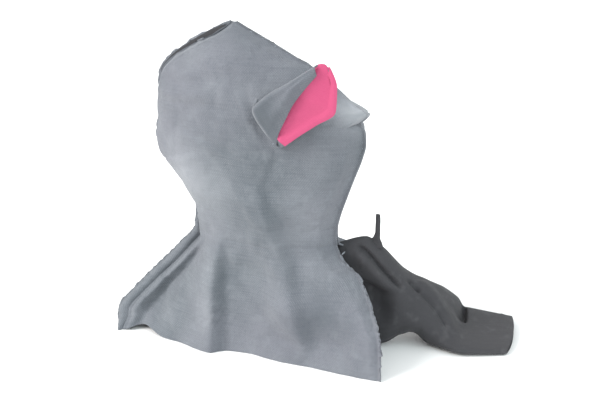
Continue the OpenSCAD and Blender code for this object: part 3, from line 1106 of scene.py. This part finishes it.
        for face in bm.faces:
            z = rows[min(v[row_layer] for v in face.verts)] * TOP_Z + 0.01
            face[band_layer] = sum(z > limit for limit in limits)
        Drape().settle(bm, held)
        for vert in bm.verts:
            vert.co.z = max(vert.co.z, FLOOR_GAP)
        if self.side is Side.FAR:
            bmesh.ops.reverse_faces(bm, faces=bm.faces[:])
        lower = [f for f in bm.faces if f[band_layer] == Band.LOWER_HEAD.value]
        geometry = set(lower)
        for face in lower:
            geometry.update(face.edges)
            geometry.update(face.verts)
        bmesh.ops.bisect_plane(bm, geom=list(geometry), plane_co=MOUTH_CORNER * MM, plane_no=THROAT_NORMAL)
        for face in bm.faces:
            ahead = (face.calc_center_median() - MOUTH_CORNER * MM).dot(THROAT_NORMAL)
            if face[band_layer] == Band.LOWER_HEAD.value and ahead > 0:
                face[band_layer] = Band.JAW.value
        parts = {}
        for band in (Band.SKIRT, Band.NECK, Band.JAW):
            parts[band] = keep_faces(bm, lambda f, want=band: f[band_layer] == want.value)
        heads = (Band.LOWER_HEAD.value, Band.UPPER_HEAD.value)
        parts[Band.UPPER_HEAD] = keep_faces(bm, lambda f: f[band_layer] in heads)
        bm.free()
        return parts


def cut_size(bm: bmesh.types.BMesh) -> tuple[tuple[float, float], float]:
    """Size of the flat cloth that a sheet was cut from.

    Args:
        bm: Sheet with its cloth map.

    Returns:
        Width and length of the cut, and its area, in metres.
    """
    uv = bm.loops.layers.uv["cloth"]
    spots = [loop[uv].uv for face in bm.faces for loop in face.loops]
    width = max(s.x for s in spots) - min(s.x for s in spots)
    length = max(s.y for s in spots) - min(s.y for s in spots)
    area = sum(face.calc_area() for face in bm.faces)
    return (width, length), min(max(area, LEAST_SHARE * width * length), width * length)


def lay_sheet(name: str, bm: bmesh.types.BMesh, material: bpy.types.Material,
              thickness: float = CLOTH, offset: float = -1) -> bpy.types.Object:
    """Makes a sheet of cloth into a piece with its thickness.

    Args:
        name: Name of the piece.
        bm: Its mesh, which is used up.
        material: Its material.
        thickness: Cloth thickness in millimetres.
        offset: Side to which the thickness grows.

    Returns:
        The piece.
    """
    flat, area = cut_size(bm)
    piece = make_piece(name, bm, material)
    thicken(piece, thickness, offset)
    return piece


@dataclass
class Body:
    """The two woven panels, with the head length riding on the head.

    Attributes:
        finishes: Materials of the puppet.
    """

    finishes: Finishes

    def build(self) -> None:
        """Builds both panels and ties the head length to the head; the other lengths stay where they are built."""
        for panel in (Panel.near(), Panel.far()):
            side = panel.side.word
            parts = panel.build()
            pieces = {}
            for band, name, held in ((Band.SKIRT, "skirt_cloth", "hung"), (Band.NECK, "neck_cloth", "gathered"),
                                     (Band.UPPER_HEAD, "head_cloth", "hung"), (Band.JAW, "cheek_cloth", "hung")):
                pieces[band] = lay_sheet(f"{side}_{name}", parts[band], self.finishes.woven)
            blend_neck(pieces[Band.SKIRT])
            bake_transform(pieces[Band.NECK])
            tie(pieces[Band.UPPER_HEAD], "head", f"{side}_head_panel")
            blend_jaw(pieces[Band.JAW])
            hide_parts(f"{side}_skirt_panel")
            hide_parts(f"{side}_neck_casing", f"{side}_neck_gusset")
            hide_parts(f"{side}_cheek", f"{side}_throat_cloth")


def blend_neck(piece: bpy.types.Object) -> None:
    """Bakes the piece's placement into its mesh."""
    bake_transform(piece)


def tie(piece: bpy.types.Object, body: str, *nodes: str) -> None:
    """Makes a piece ride on a body and stand for CAD nodes."""
    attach(piece, body)
    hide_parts(*nodes)


def blend_jaw(piece: bpy.types.Object) -> None:
    """Bakes the piece's placement into its mesh."""
    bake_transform(piece)


# --------------------------------------------------------------------- ears


@dataclass
class Ear:
    """One ear: grey cloth folded along its top edge over a pink lining.

    Attributes:
        side: Side of the head.
        finishes: Materials of the puppet.
        near_rim: Free rim in front, from root to tip.
        fold: Folded top edge, from root to tip.
        far_rim: Rim against the head, from root to tip.
        droop: Turn of the hanging far ear in degrees.
        out: How much further out the far ear is sewn.
        turn_in: Share of the ear that turns in to its seam.
        root: Middle of the seam.
        root_way: The seam from its top to its bottom.
    """

    side: Side
    finishes: Finishes
    near_rim: tuple = ((29, -42, 188.8), (32.5, -45.2, 199), (41, -49.5, 214), (50, -52, 229), (59, -51, 241),
                       (68, -49, 252))
    fold: tuple = ((10.5, -47, 221), (20, -53, 228.5), (32, -53, 237.5), (45, -54, 245), (57, -52, 253),
                   (67, -48, 260))
    far_rim: tuple = ((33.5, -40, 188.8), (47, -40, 200), (64, -40, 212), (80, -40, 224), (81, -41, 243),
                      (74, -43, 257))
    droop: float = 125.0
    out: float = 2.5
    turn_in: float = 0.045
    root: Vector = field(default_factory=lambda: Vector((19.5, -39, 207.5)))
    root_way: Vector = field(default_factory=lambda: Vector((18, 2, -38)))

    @staticmethod
    def line(points: Sequence, v: np.ndarray) -> np.ndarray:
        """Smooth line through points.

        Args:
            points: Places in millimetres.
            v: Share of the way along.

        Returns:
            Place at each v.
        """
        steps = np.linspace(0, 1, len(points))
        return np.stack([Profile(*zip(steps, axis))(v) for axis in zip(*points)], axis=-1)

    def shape(self, u: np.ndarray, v: np.ndarray) -> np.ndarray:
        """Outer face of the ear.

        Args:
            u: 0 at the near rim, 0.5 on the fold, 1 at the far rim.
            v: 0 at the root, 1 at the tip.

        Returns:
            Points in millimetres.
        """
        s = 2 * u - 1
        t = np.abs(s)[..., None]
        fold = self.line(self.fold, v)
        end = np.where(s[..., None] < 0, self.line(self.near_rim, v), self.line(self.far_rim, v))
        cup = np.where(s[..., None] < 0, 1.0, -0.6) * np.array([0.5, -3.2, 0.5]) * 4 * t * (1 - t)
        points = fold + (end - fold) * t + cup
        far = t[..., 0]
        apex = far / 0.1 * np.exp(1 - far / 0.1)
        points[..., 1] += np.where(s < 0, -2.6, 1.7) * apex
        points[..., 0] -= np.where(s < 0, 3.8, 2.4) * smooth(1 - v / 0.3) * 4 * far * (1 - far)
        tip = 2.8 * smooth((v - 0.84) / 0.16) * 4 * far * (1 - far) * (s > 0)
        points += tip[..., None] * np.array([0.7, 0, 0.7])
        points[..., 1] -= 1.1 * bump(u - 0.965, 0.022) * smooth((v - 0.06) / 0.1)
        dents = (1.6 * bump(u - 0.22, 0.09) * bump(v - 0.42, 0.22)
                 - 1.5 * bump(u - 0.2, 0.1) * bump(v - 0.12, 0.1)
                 + 0.9 * bump(u - 0.3, 0.05) * bump(v - 0.7, 0.15)
                 + 0.5 * ripple(u * 40, v * 60, 14, 3.0) * (1 - far))
        tuck = 2.2 * bump(u - 0.93, 0.05) * bump(v - 0.05, 0.06) + 0.7 * bump(u - 0.8, 0.07) * bump(v - 0.5, 0.3)
        points[..., 1] -= dents + tuck
        sewn = np.array(self.root) + (t - 0.5) * np.array(self.root_way)
        sewn[..., 1] += 1.8 + self.out * (self.side is Side.FAR)
        return mix(sewn, points, smooth(v / self.turn_in)[..., None])

    def inner(self, depth: float) -> Shape:
        """Face parallel to the outer one.

        Args:
            depth: Distance inwards in millimetres.

        Returns:
            Function of u and v like shape.
        """
        def face(u: np.ndarray, v: np.ndarray) -> np.ndarray:
            """Points of the inner face, with u and v as a regular grid."""
            points = self.shape(0.045 + 0.955 * u, 0.055 + 0.945 * v)
            over = np.cross(np.gradient(points, axis=1), np.gradient(points, axis=0))
            return points - unit(over) * depth * self.outward()
        return face

    def outward(self) -> float:
        """Sign that makes the grid's own normals point out of the ear."""
        u, v = np.meshgrid(np.linspace(0, 1, 5), np.linspace(0, 1, 5))
        points = self.shape(u, v)
        over = np.cross(np.gradient(points, axis=1), np.gradient(points, axis=0))
        return 1.0 if over[2, 1, 1] < 0 else -1.0

    def rows(self) -> np.ndarray:
        """V of each row, close together where the root turns in to its seam."""
        return np.concatenate([np.linspace(0, self.turn_in, 6), np.linspace(self.turn_in, 1, 45)[1:]])

    def wear(self, points: np.ndarray) -> np.ndarray:
        """Painted light and shade of the grey cloth: painted shade over the root, painted highlights along the
        root's seam and the fold.

        Args:
            points: Grid of points in millimetres.

        Returns:
            Painted light (above 0) and painted shade (below 0) at each point.
        """
        v, u = np.meshgrid(self.rows(), np.linspace(-1, 1, points.shape[1]), indexing="ij")
        # Painted highlight line where the root turns in to its seam, and painted shade over the root half of the
        # ear away from the fold and the rims.
        root = 0.4 * bump(v - self.turn_in, 0.03) - 0.75 * smooth((v - 0.05) / 0.06) * smooth((0.55 - v) / 0.5)
        ends = smooth(np.abs(u) / 0.35) * smooth((1 - np.abs(u)) / 0.2)
        # Painted highlight along the fold; the rest painted slightly darker.
        return root * ends + 0.25 * bump(u, 0.06) - 0.1

    def place(self, bm: bmesh.types.BMesh) -> None:
        """Moves a near ear's mesh to where this ear is sewn."""
        if self.side is Side.NEAR:
            return
        root = self.root * MM
        outward = Vector((0, -self.out, 0)) * MM
        turn = Matrix.Rotation(math.radians(self.droop), 4, "Y")
        move = Matrix.Translation(root + outward) @ turn @ Matrix.Translation(-root)
        move = Matrix.Scale(-1, 4, (0, 1, 0)) @ move
        bmesh.ops.transform(bm, matrix=move, verts=bm.verts[:])
        bmesh.ops.reverse_faces(bm, faces=bm.faces[:])

    def face(self, name: str, shape: Shape, material: bpy.types.Material, slot: Slot,
             thickness: float) -> bpy.types.Object:
        """Makes one layer of the ear.

        Args:
            name: Name of the piece.
            shape: Its surface.
            material: Its material.
            slot: Material slot of the piece.
            thickness: Cloth thickness in millimetres.

        Returns:
            The piece.
        """
        spread = np.linspace(-1, 1, 65)
        columns = 0.5 + 0.5 * np.sign(spread) * np.abs(spread) ** 1.5
        bm = Sheet(shape, columns, self.rows(), self.wear if slot is Slot.WOVEN else None).build()
        if self.outward() < 0:
            bmesh.ops.reverse_faces(bm, faces=bm.faces[:])
        self.place(bm)
        piece = lay_sheet(name, bm, material, thickness)
        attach(piece, f"{self.side.word}_ear")
        return piece

    def build(self) -> None:
        """Builds the grey cloth, the lining and the root stitches."""
        side = self.side.word
        grey = self.face(f"{side}_ear_cloth", self.shape, self.finishes.woven, Slot.WOVEN, 1.2)
        pink = self.face(f"{side}_ear_pink", self.inner(1.45), self.finishes.pink, Slot.PINK, 0.9)
        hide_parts(f"{side}_ear_outer")
        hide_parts(f"{side}_ear_lining")
        bm = bmesh.new()
        for k in range(9):
            centre = self.root + (0.1 + 0.1 * k - 0.5) * self.root_way + Vector((0.6, -3.0, 0.2))
            tilt = Vector((1.5, -0.25, 0.9 * (-1) ** k))
            cylinder_between(bm, (centre - tilt) * MM, (centre + tilt) * MM, 0.34 * MM)
        self.place(bm)
        stitches = make_piece(f"{side}_ear_thread", bm, self.finishes.thread)
        tie(stitches, f"{side}_ear", f"{side}_ear_stitches")


# ------------------------------------------------------------- inner pieces


@dataclass
class Mouth:
    """Pink mouth halves, the rolled corner and the stiff boards behind them.

    Attributes:
        finishes: Materials of the puppet.
        panel: Panel whose inside the lining meets.
    """

    finishes: Finishes
    panel: Panel

    def half(self, height: float) -> Shape:
        """Surface of one mouth lining.

        Args:
            height: Its height in millimetres.

        Returns:
            Function of u and v.
        """
        def face(u: np.ndarray, v: np.ndarray) -> np.ndarray:
            """Points with u from the near lip to the far lip and v from the corner to the tip."""
            x = 47.5 + 33 * v
            z = np.full_like(x, MOUTH_Z)
            s = (x - BACK_EDGE(z)) / (FRONT_EDGE(z) - BACK_EDGE(z))
            half = self.panel.bulge(z) * np.maximum(4 * s * (1 - s), 0) ** ROUND - 2.6
            return np.stack([x, (2 * u - 1) * half, height + 0.12 * ripple(x, u * 40, 9, 2.0)], axis=-1)
        return face

    def build(self) -> None:
        """Builds the linings and the corner roll and finishes the boards."""
        for name, height, replaced in (("upper_mouth_pink", 206.0, "upper_mouth_lining"),
                                       ("lower_mouth_pink", 204.0, "lower_mouth_lining")):
            bm = Sheet(self.half(height), 40, 36).build()
            piece = lay_sheet(name, bm, self.finishes.pink, 0.8, 0)
            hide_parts(replaced)
            if height > MOUTH_Z:
                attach(piece, "head")
            else:
                blend_jaw(piece)
        route = [Vector((46 + 0.25 * math.sin(k * 1.3), -18 + 36 * k / 24, 205 + 0.2 * math.cos(k * 1.7))) * MM
                 for k in range(25)]
        tube = swept_tube(route, 1.5 * MM, 14)
        cloth_layer = tube.loops.layers.uv.new("cloth")
        for face in tube.faces:
            for loop in face.loops:
                loop[cloth_layer].uv = (loop.vert.co.y, loop.vert.co.x + loop.vert.co.z)
        roll = make_piece("mouth_corner_pink", tube, self.finishes.pink)
        tie(roll, "head", "mouth_corner_roll")
        for node in ("upper_mouth_board", "lower_mouth_board"):
            dress_node(node, self.finishes.felt)


def dress_node(node: str, material: bpy.types.Material) -> None:
    """Gives a carried-over CAD node its material."""
    data = bpy.data.objects[node].data
    data.materials.clear()
    data.materials.append(material)


@dataclass
class Inside:
    """Hand lining, crown filling and wrist elastic.

    Attributes:
        finishes: Materials of the puppet.
        panel: Near panel, for the shape of the head.
        inset: Distance of the lining behind the woven cloth in millimetres.
    """

    finishes: Finishes
    panel: Panel
    inset: float = 8.5

    def lining(self, side: Side) -> Shape:
        """Surface of one half of the hand lining.

        Args:
            side: Side of the head.

        Returns:
            Function of u and v.
        """
        def face(u: np.ndarray, v: np.ndarray) -> np.ndarray:
            """Points with u from back to front and v from below to above."""
            z = 140 + 100 * v
            back, front = BACK_EDGE(z), FRONT_EDGE(z)
            low, high = back + 14, np.minimum(front - 14, 42)
            x = mix(low, high, u)
            s = (x - back) / (front - back)
            depth = self.panel.bulge(z) * (4 * s * (1 - s)) ** ROUND - self.inset + 0.6 * ripple(x, z, 24, 5.0)
            return np.stack([x, side.value * np.maximum(0.8, depth), z], axis=-1)
        return face

    @staticmethod
    def crown_strip(u: np.ndarray, v: np.ndarray) -> np.ndarray:
        """Points of a dark jersey sheet set in the gap along the crown as painted shade for the gap's dark inside.
        """
        z = 233 + 44.5 * v
        x = BACK_EDGE(z) + 2.2 + u * (FIN(z) + 4)
        return np.stack([x, 0.1 - 0.9 * u * np.ones_like(z), z], axis=-1)

    def build(self) -> None:
        """Builds the lining, the filling and the elastic's finish."""
        for side in Side:
            bm = Sheet(self.lining(side), 44, 40).build()
            if side is Side.FAR:
                bmesh.ops.reverse_faces(bm, faces=bm.faces[:])
            piece = lay_sheet(f"{side.word}_hand_jersey", bm, self.finishes.jersey, 1.1, 0)
            tie(piece, "head", f"{side.word}_hand_lining")
        # Dark jersey sheet in the crown gap: painted shade standing for the shadow inside the gap.
        strip = lay_sheet("crown_jersey_strip", Sheet(self.crown_strip, 10, 60).build(), self.finishes.jersey,
                          0.8, 0)
        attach(strip, "head")
        bm = bmesh.new()
        bmesh.ops.create_icosphere(bm, subdivisions=5, radius=1.0)
        for vert in bm.verts:
            x, y, z = vert.co
            lump = 1 + 0.05 * math.sin(5 * x + 2 * z) * math.sin(4 * y + 1) + 0.03 * math.sin(11 * x + 7 * y)
            vert.co = Vector((-36 + 44 * x * lump, 10 * y * lump, 246.5 + 9.5 * z * lump - 2 * x * x)) * MM
        padding = make_piece("crown_filling", bm, self.finishes.padding)
        tie(padding, "head", "crown_padding")
        dress_node("neck_elastic", self.finishes.elastic)


@dataclass
class SeamThread:
    """Small whip stitches over the edges where the panels meet.

    Attributes:
        finishes: Materials of the puppet.
        pitch: Distance from one stitch to the next in millimetres.
        cover: Share of the pitch that a stitch covers.
        inset: Distance of the stitches from the edge.
        proud: Distance of a stitch's middle from the seam.
        dip: How much nearer to the seam its ends are.
        radius: Radius of the thread.
    """

    finishes: Finishes
    pitch: float = 2.6
    cover: float = 0.62
    inset: float = 1.9
    proud: float = 1.75
    dip: float = 0.9
    radius: float = 0.3

    def run(self, heights: tuple[float, float], edge: Profile, ahead: float, seam: Optional[Profile]) -> list:
        """Places of stitches along an edge.

        Args:
            heights: Lowest and highest stitch.
            edge: X of the edge by height.
            ahead: 1 for a front edge, -1 for a back edge.
            seam: Y of the seam by height, or nothing where it is 0.

        Returns:
            Points of a bent stitch for each place.
        """
        found = []
        for k, z in enumerate(np.arange(heights[0], heights[1], self.pitch)):
            side = -1 if k % 2 == 0 else 1
            end = z + self.cover * self.pitch
            route = []
            for h, dip in ((z, self.dip), ((z + end) / 2, 0.0), (end, self.dip)):
                y = (float(seam(h)) if seam else 0.0) + side * self.proud
                route.append(Vector((float(edge(h)) - ahead * self.inset, y, h)))
                route[-1].y -= side * dip
            found.append(route)
        return found

    def piece(self, name: str, runs: list) -> bpy.types.Object:
        """Makes stitches into one piece.

        Args:
            name: Name of the piece.
            runs: Points of each stitch in millimetres.

        Returns:
            The piece.
        """
        whole = bmesh.new()
        for route in runs:
            part = swept_tube([p * MM for p in route], self.radius * MM, 5)
            data = bpy.data.meshes.new("stitch")
            part.to_mesh(data)
            part.free()
            whole.from_mesh(data)
            bpy.data.meshes.remove(data)
        return make_piece(name, whole, self.finishes.thread)

    def build(self) -> None:
        """Builds each run of stitches and the thread knot at the vent."""
        low = self.piece("back_seam_thread", self.run((8, 95), BACK_EDGE, -1, BACK_SEAM))
        blend_neck(low)
        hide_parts("back_seam_stitches")
        neck = self.piece("neck_seam_thread", self.run((101, 112), BACK_EDGE, -1, None))
        tie(neck, "neck_band", "neck_seam_stitches")
        head = self.piece("head_seam_thread", self.run((145, 228), BACK_EDGE, -1, None)
                          + self.run((221, 276), FRONT_EDGE, 1, None))
        tie(head, "head", "head_seam_stitches")
        chin = self.piece("chin_seam_thread", self.run((174, 200), FRONT_EDGE, 1, None))
        blend_jaw(chin)
        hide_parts("chin_seam_stitches")
        knot = [[Vector((71.2 + dx, -2.2, 90 + dz)), Vector((72.2 + dx, -2.5, 91.2 + dz)),
                 Vector((72.8 + dx, 0.4, 91.6 + dz))] for dx, dz in ((0, 0), (0.3, 0.8))]
        tack = self.piece("vent_knot", knot)
        blend_neck(tack)
        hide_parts("vent_bar_tack")


# ------------------------------------------------------------------- sleeve


@dataclass
class Sleeve:
    """Black jersey sleeve that comes out under the far panel and lies on the table.

    Attributes:
        finishes: Materials of the puppet.
        rings: Centre, half width and half thickness along the sleeve.
        sides: Points round the sleeve.
        rows: Rows along the sleeve.
        clearance: Lowest height of its face in metres.
        girth: Length round the sleeve for which its folds are given.
    """

    finishes: Finishes
    rings: tuple = (
        ((26, 4, 48), (0, 0, 42), (0, -8, 0)), ((56, 10, 50), (0, 0, 44), (0, -9, 0)),
        ((84, 19, 53), (0, 0, 49), (0, -9, 0)), ((97, 27, 46), (-1, 3, 45), (6, -12, 2)),
        ((111, 41, 38), (-3, 10, 28), (10, -15, 8)), ((122, 50, 33), (-4, 16, 20), (9, -13, 9)),
        ((134, 59, 23), (-5, 24, 16), (7, -9, 12)), ((148, 68, 14), (-5, 37, 7), (3, -3, 10)),
        ((160, 73, 6.5), (-10, 44, 1), (0, 0, 6)), ((178, 79, 5), (-9, 41, 1), (0, 0, 4.4)),
        ((199, 85, 4), (-6.5, 36.5, 1), (0, 0, 3.4)))
    sides: int = 112
    rows: int = 170
    clearance: float = 0.0004
    girth: float = 190.0

    def shape(self, u: np.ndarray, v: np.ndarray) -> np.ndarray:
        """Outer face of the sleeve.

        Args:
            u: Turn round the sleeve as a share.
            v: Share of the way from the root to the cuff.

        Returns:
            Points in millimetres.
        """
        steps = [0.0]
        for a, b in zip(self.rings, self.rings[1:]):
            steps.append(steps[-1] + math.dist(a[0], b[0]))
        at = v * steps[-1]
        centre, wide, thick = (np.stack([Profile(*zip(steps, axis))(at)
                                         for axis in zip(*(ring[k] for ring in self.rings))], axis=-1)
                               for k in range(3))
        angle = 2 * math.pi * u
        cos, sin = np.cos(angle)[..., None], np.sin(angle)[..., None]
        flat = np.sign(sin) * np.abs(sin) ** 0.8
        points = centre + wide * cos + thick * flat
        out = sum(way * share / np.linalg.norm(way, axis=-1, keepdims=True) ** 2
                  for way, share in ((wide, cos), (thick, flat)))
        points[..., 0] += 4.0 * smooth((centre[..., 0] - 185) / 14) * (1 - cos[..., 0] ** 2) * np.ones_like(u)
        return points + unit(out) * self.folds(centre[..., 0], u)[..., None]

    def folds(self, x: np.ndarray, u: np.ndarray) -> np.ndarray:
        """Folds of the slack jersey.

        Args:
            x: X of the sleeve's middle in millimetres.
            u: Turn round the sleeve as a share, 0 at the top and 0.25 in front.

        Returns:
            Height of the folds in millimetres.
        """
        w = u * self.girth
        inner = smooth((x - 74) / 12)
        calm = smooth((165 - x) / 14) * inner
        rim = smooth(np.minimum(w, self.girth - w) / 14)
        total = calm * rim * (0.8 * ripple(x, w, 34, 2.2) + 0.3 * ripple(x, w, 13, 5.5))
        for a, b, width, size, side, swell in (
                ((80, 17), (91, 24), 1.7, -6.0, 6, 3.8), ((91, 24), (107, 37), 1.7, -6.0, 6, 3.4),
                ((113, 27), (120, 37), 2.4, -4.6, -8, 1.6), ((120, 37), (147, 66), 1.8, -2.6, -7, 2.4),
                ((140, 120), (100, 160), 4.0, -3.0, 9, 2.0), ((96, 110), (130, 140), 4.0, -2.5, 9, 2.0)):
            off, t = along(x, w, a, b)
            total += inner * (size * bump(off, width) + swell * bump(off + side, 5)) * window(t, 0.15)
        cave = smooth((x - 80) / 4) * smooth((106 - x) / 11) * smooth((w - 40) / 2.5) * smooth((68 - w) / 18)
        total -= 8.0 * cave
        total += 2.6 * bump(x - 137, 12) * bump(w - 34, 14)
        off = x - 158 - w / 18
        slope = np.where(off < 0, np.exp(-(off / (2.5 + 0.17 * np.clip(w, 0, 60))) ** 2), bump(off, 1.6))
        total -= 8.5 * slope * smooth((w - 4) / 8) * smooth((48 - w) / 9)
        total += 0.5 * bump(x - 191, 1.2) * inner
        return total

    def part(self, name: str, low: float, high: float) -> bpy.types.Object:
        """Makes the length of sleeve between two rows.

        Args:
            name: Name of the piece.
            low: X in millimetres where it starts.
            high: X where it ends.

        Returns:
            The piece, not yet tied to a body.
        """
        bm = Sheet(self.shape, self.sides, self.rows).build()
        row_layer = bm.verts.layers.int["row"]
        centre = {}
        for vert in bm.verts:
            centre.setdefault(vert[row_layer], []).append(vert.co.x)
        middle = {row: sum(xs) / len(xs) / MM for row, xs in centre.items()}
        part = keep_faces(bm, lambda f: low <= middle[min(v[row_layer] for v in f.verts)] < high)
        bm.free()
        for vert in part.verts:
            vert.co.z = max(vert.co.z, self.clearance)
        flat, area = cut_size(part)
        bmesh.ops.remove_doubles(part, verts=part.verts[:], dist=SAME_POINT)
        piece = make_piece(name, part, self.finishes.jersey)
        thicken(piece, 1.2, -1)
        return piece

    def build(self) -> None:
        """Builds the sleeve in two lengths and its standing tab."""
        upper = self.part("sleeve_jersey", 0, 134)
        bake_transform(upper)
        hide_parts("sleeve_root", "sleeve_upper")
        lower = self.part("sleeve_cuff_jersey", 134, 400)
        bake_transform(lower)
        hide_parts("sleeve_lower", "sleeve_cuff")

        centre = Profile((0, 88), (0.3, 93.5), (0.5, 94.8), (1, 94.6))
        half = Profile((0, 12), (0.15, 7), (0.3, 3), (0.5, 1.9), (0.9, 1.7), (1, 1.3))

        def ribbon(u: np.ndarray, v: np.ndarray) -> np.ndarray:
            """Points of the tab, u across and v up."""
            x = centre(v) + (2 * u - 1) * half(v)
            y = 21.5 - 1.5 * v + 0.5 * np.sin(v * 9) + 0.8 * (2 * u - 1) ** 2
            return np.stack([x, y, 92 + 31 * v], axis=-1)

        tab = lay_sheet("sleeve_tab_jersey", Sheet(ribbon, 12, 48).build(), self.finishes.jersey,
                        1.5, 0)
        tie(tab, "sleeve_upper", "sleeve_tab")


# ------------------------------------------------------------------- studio


@dataclass
class Studio:
    """White floor, soft light and the camera.

    Attributes:
        azimuth: Turn of the camera from the near side towards the front, in degrees.
        elevation: Angle above the floor in degrees.
        distance: Distance from the target in metres.
        room: Brightness of the white room.
        floor: Brightness of the floor.
        target: Point looked at.
        suns: Name, direction, apparent size in degrees, strength and colour of each light.
    """

    azimuth: float = 25.0
    elevation: float = 18.0
    distance: float = 0.855
    room: float = 1.0
    floor: float = 0.93
    target: Vector = field(default_factory=lambda: Vector((0.031, 0, 0.133)))
    suns: tuple = (("key", (-1.0, -1.0, 0.9), 32, 3.5, (1.0, 0.985, 0.965)),
                   ("fill", (1.0, -0.5, 0.95), 60, 1.15, (0.80, 0.98, 1.0)))

    @staticmethod
    def sun(name: str, towards: Vector, spread: float, strength: float, colour: Colour) -> None:
        """Adds a soft light from far away.

        Args:
            name: Name of the light.
            towards: Direction in which the light stands.
            spread: Its apparent size in degrees.
            strength: Its strength in watts per square metre.
            colour: Its colour.
        """
        data = bpy.data.lights.new(name, "SUN")
        data.angle, data.energy, data.color = math.radians(spread), strength, colour
        light = bpy.data.objects.new(name, data)
        light.rotation_euler = towards.to_track_quat("Z", "Y").to_euler()
        bpy.context.scene.collection.objects.link(light)

    def build(self) -> None:
        """Builds the floor, the lights, the world and the camera."""
        scene = bpy.context.scene
        bm = bmesh.new()
        bmesh.ops.create_grid(bm, x_segments=1, y_segments=1, size=6)
        data = bpy.data.meshes.new("floor")
        bm.to_mesh(data)
        bm.free()
        floor = bpy.data.objects.new("floor", data)
        scene.collection.objects.link(floor)
        material, _, shader = start_material("white_table", 0.9, 0.0)
        shader.inputs["Base Color"].default_value = (self.floor, self.floor, self.floor, 1)
        data.materials.append(material)
        world = bpy.data.worlds.new("white_room")
        world.use_nodes = True
        background = world.node_tree.nodes["Background"]
        background.inputs["Color"].default_value = (1, 1, 1, 1)
        background.inputs["Strength"].default_value = self.room
        scene.world = world
        for name, towards, spread, strength, colour in self.suns:
            self.sun(name, Vector(towards), spread, strength, colour)
        scene.view_settings.view_transform = "Standard"
        camera_data = bpy.data.cameras.new("camera")
        camera_data.lens, camera_data.sensor_width = 60, 36
        camera = bpy.data.objects.new("camera", camera_data)
        a, e = math.radians(self.azimuth), math.radians(self.elevation)
        back = Vector((math.sin(a) * math.cos(e), -math.cos(a) * math.cos(e), math.sin(e)))
        camera.location = self.target + back * self.distance
        camera.rotation_euler = back.to_track_quat("Z", "Y").to_euler()
        scene.collection.objects.link(camera)
        scene.camera = camera


def main() -> None:
    """Builds every sub-assembly in order."""
    logging.basicConfig(level=logging.INFO, format="%(message)s")
    Studio().build()
    finishes = Finishes.build()
    near = Panel.near()
    for part in (Body(finishes), Ear(Side.NEAR, finishes), Ear(Side.FAR, finishes), Mouth(finishes, near),
                 Inside(finishes, near), SeamThread(finishes), Sleeve(finishes)):
        LOG.info("building %s", type(part).__name__)
        part.build()


if __name__ == "__main__":
    main()
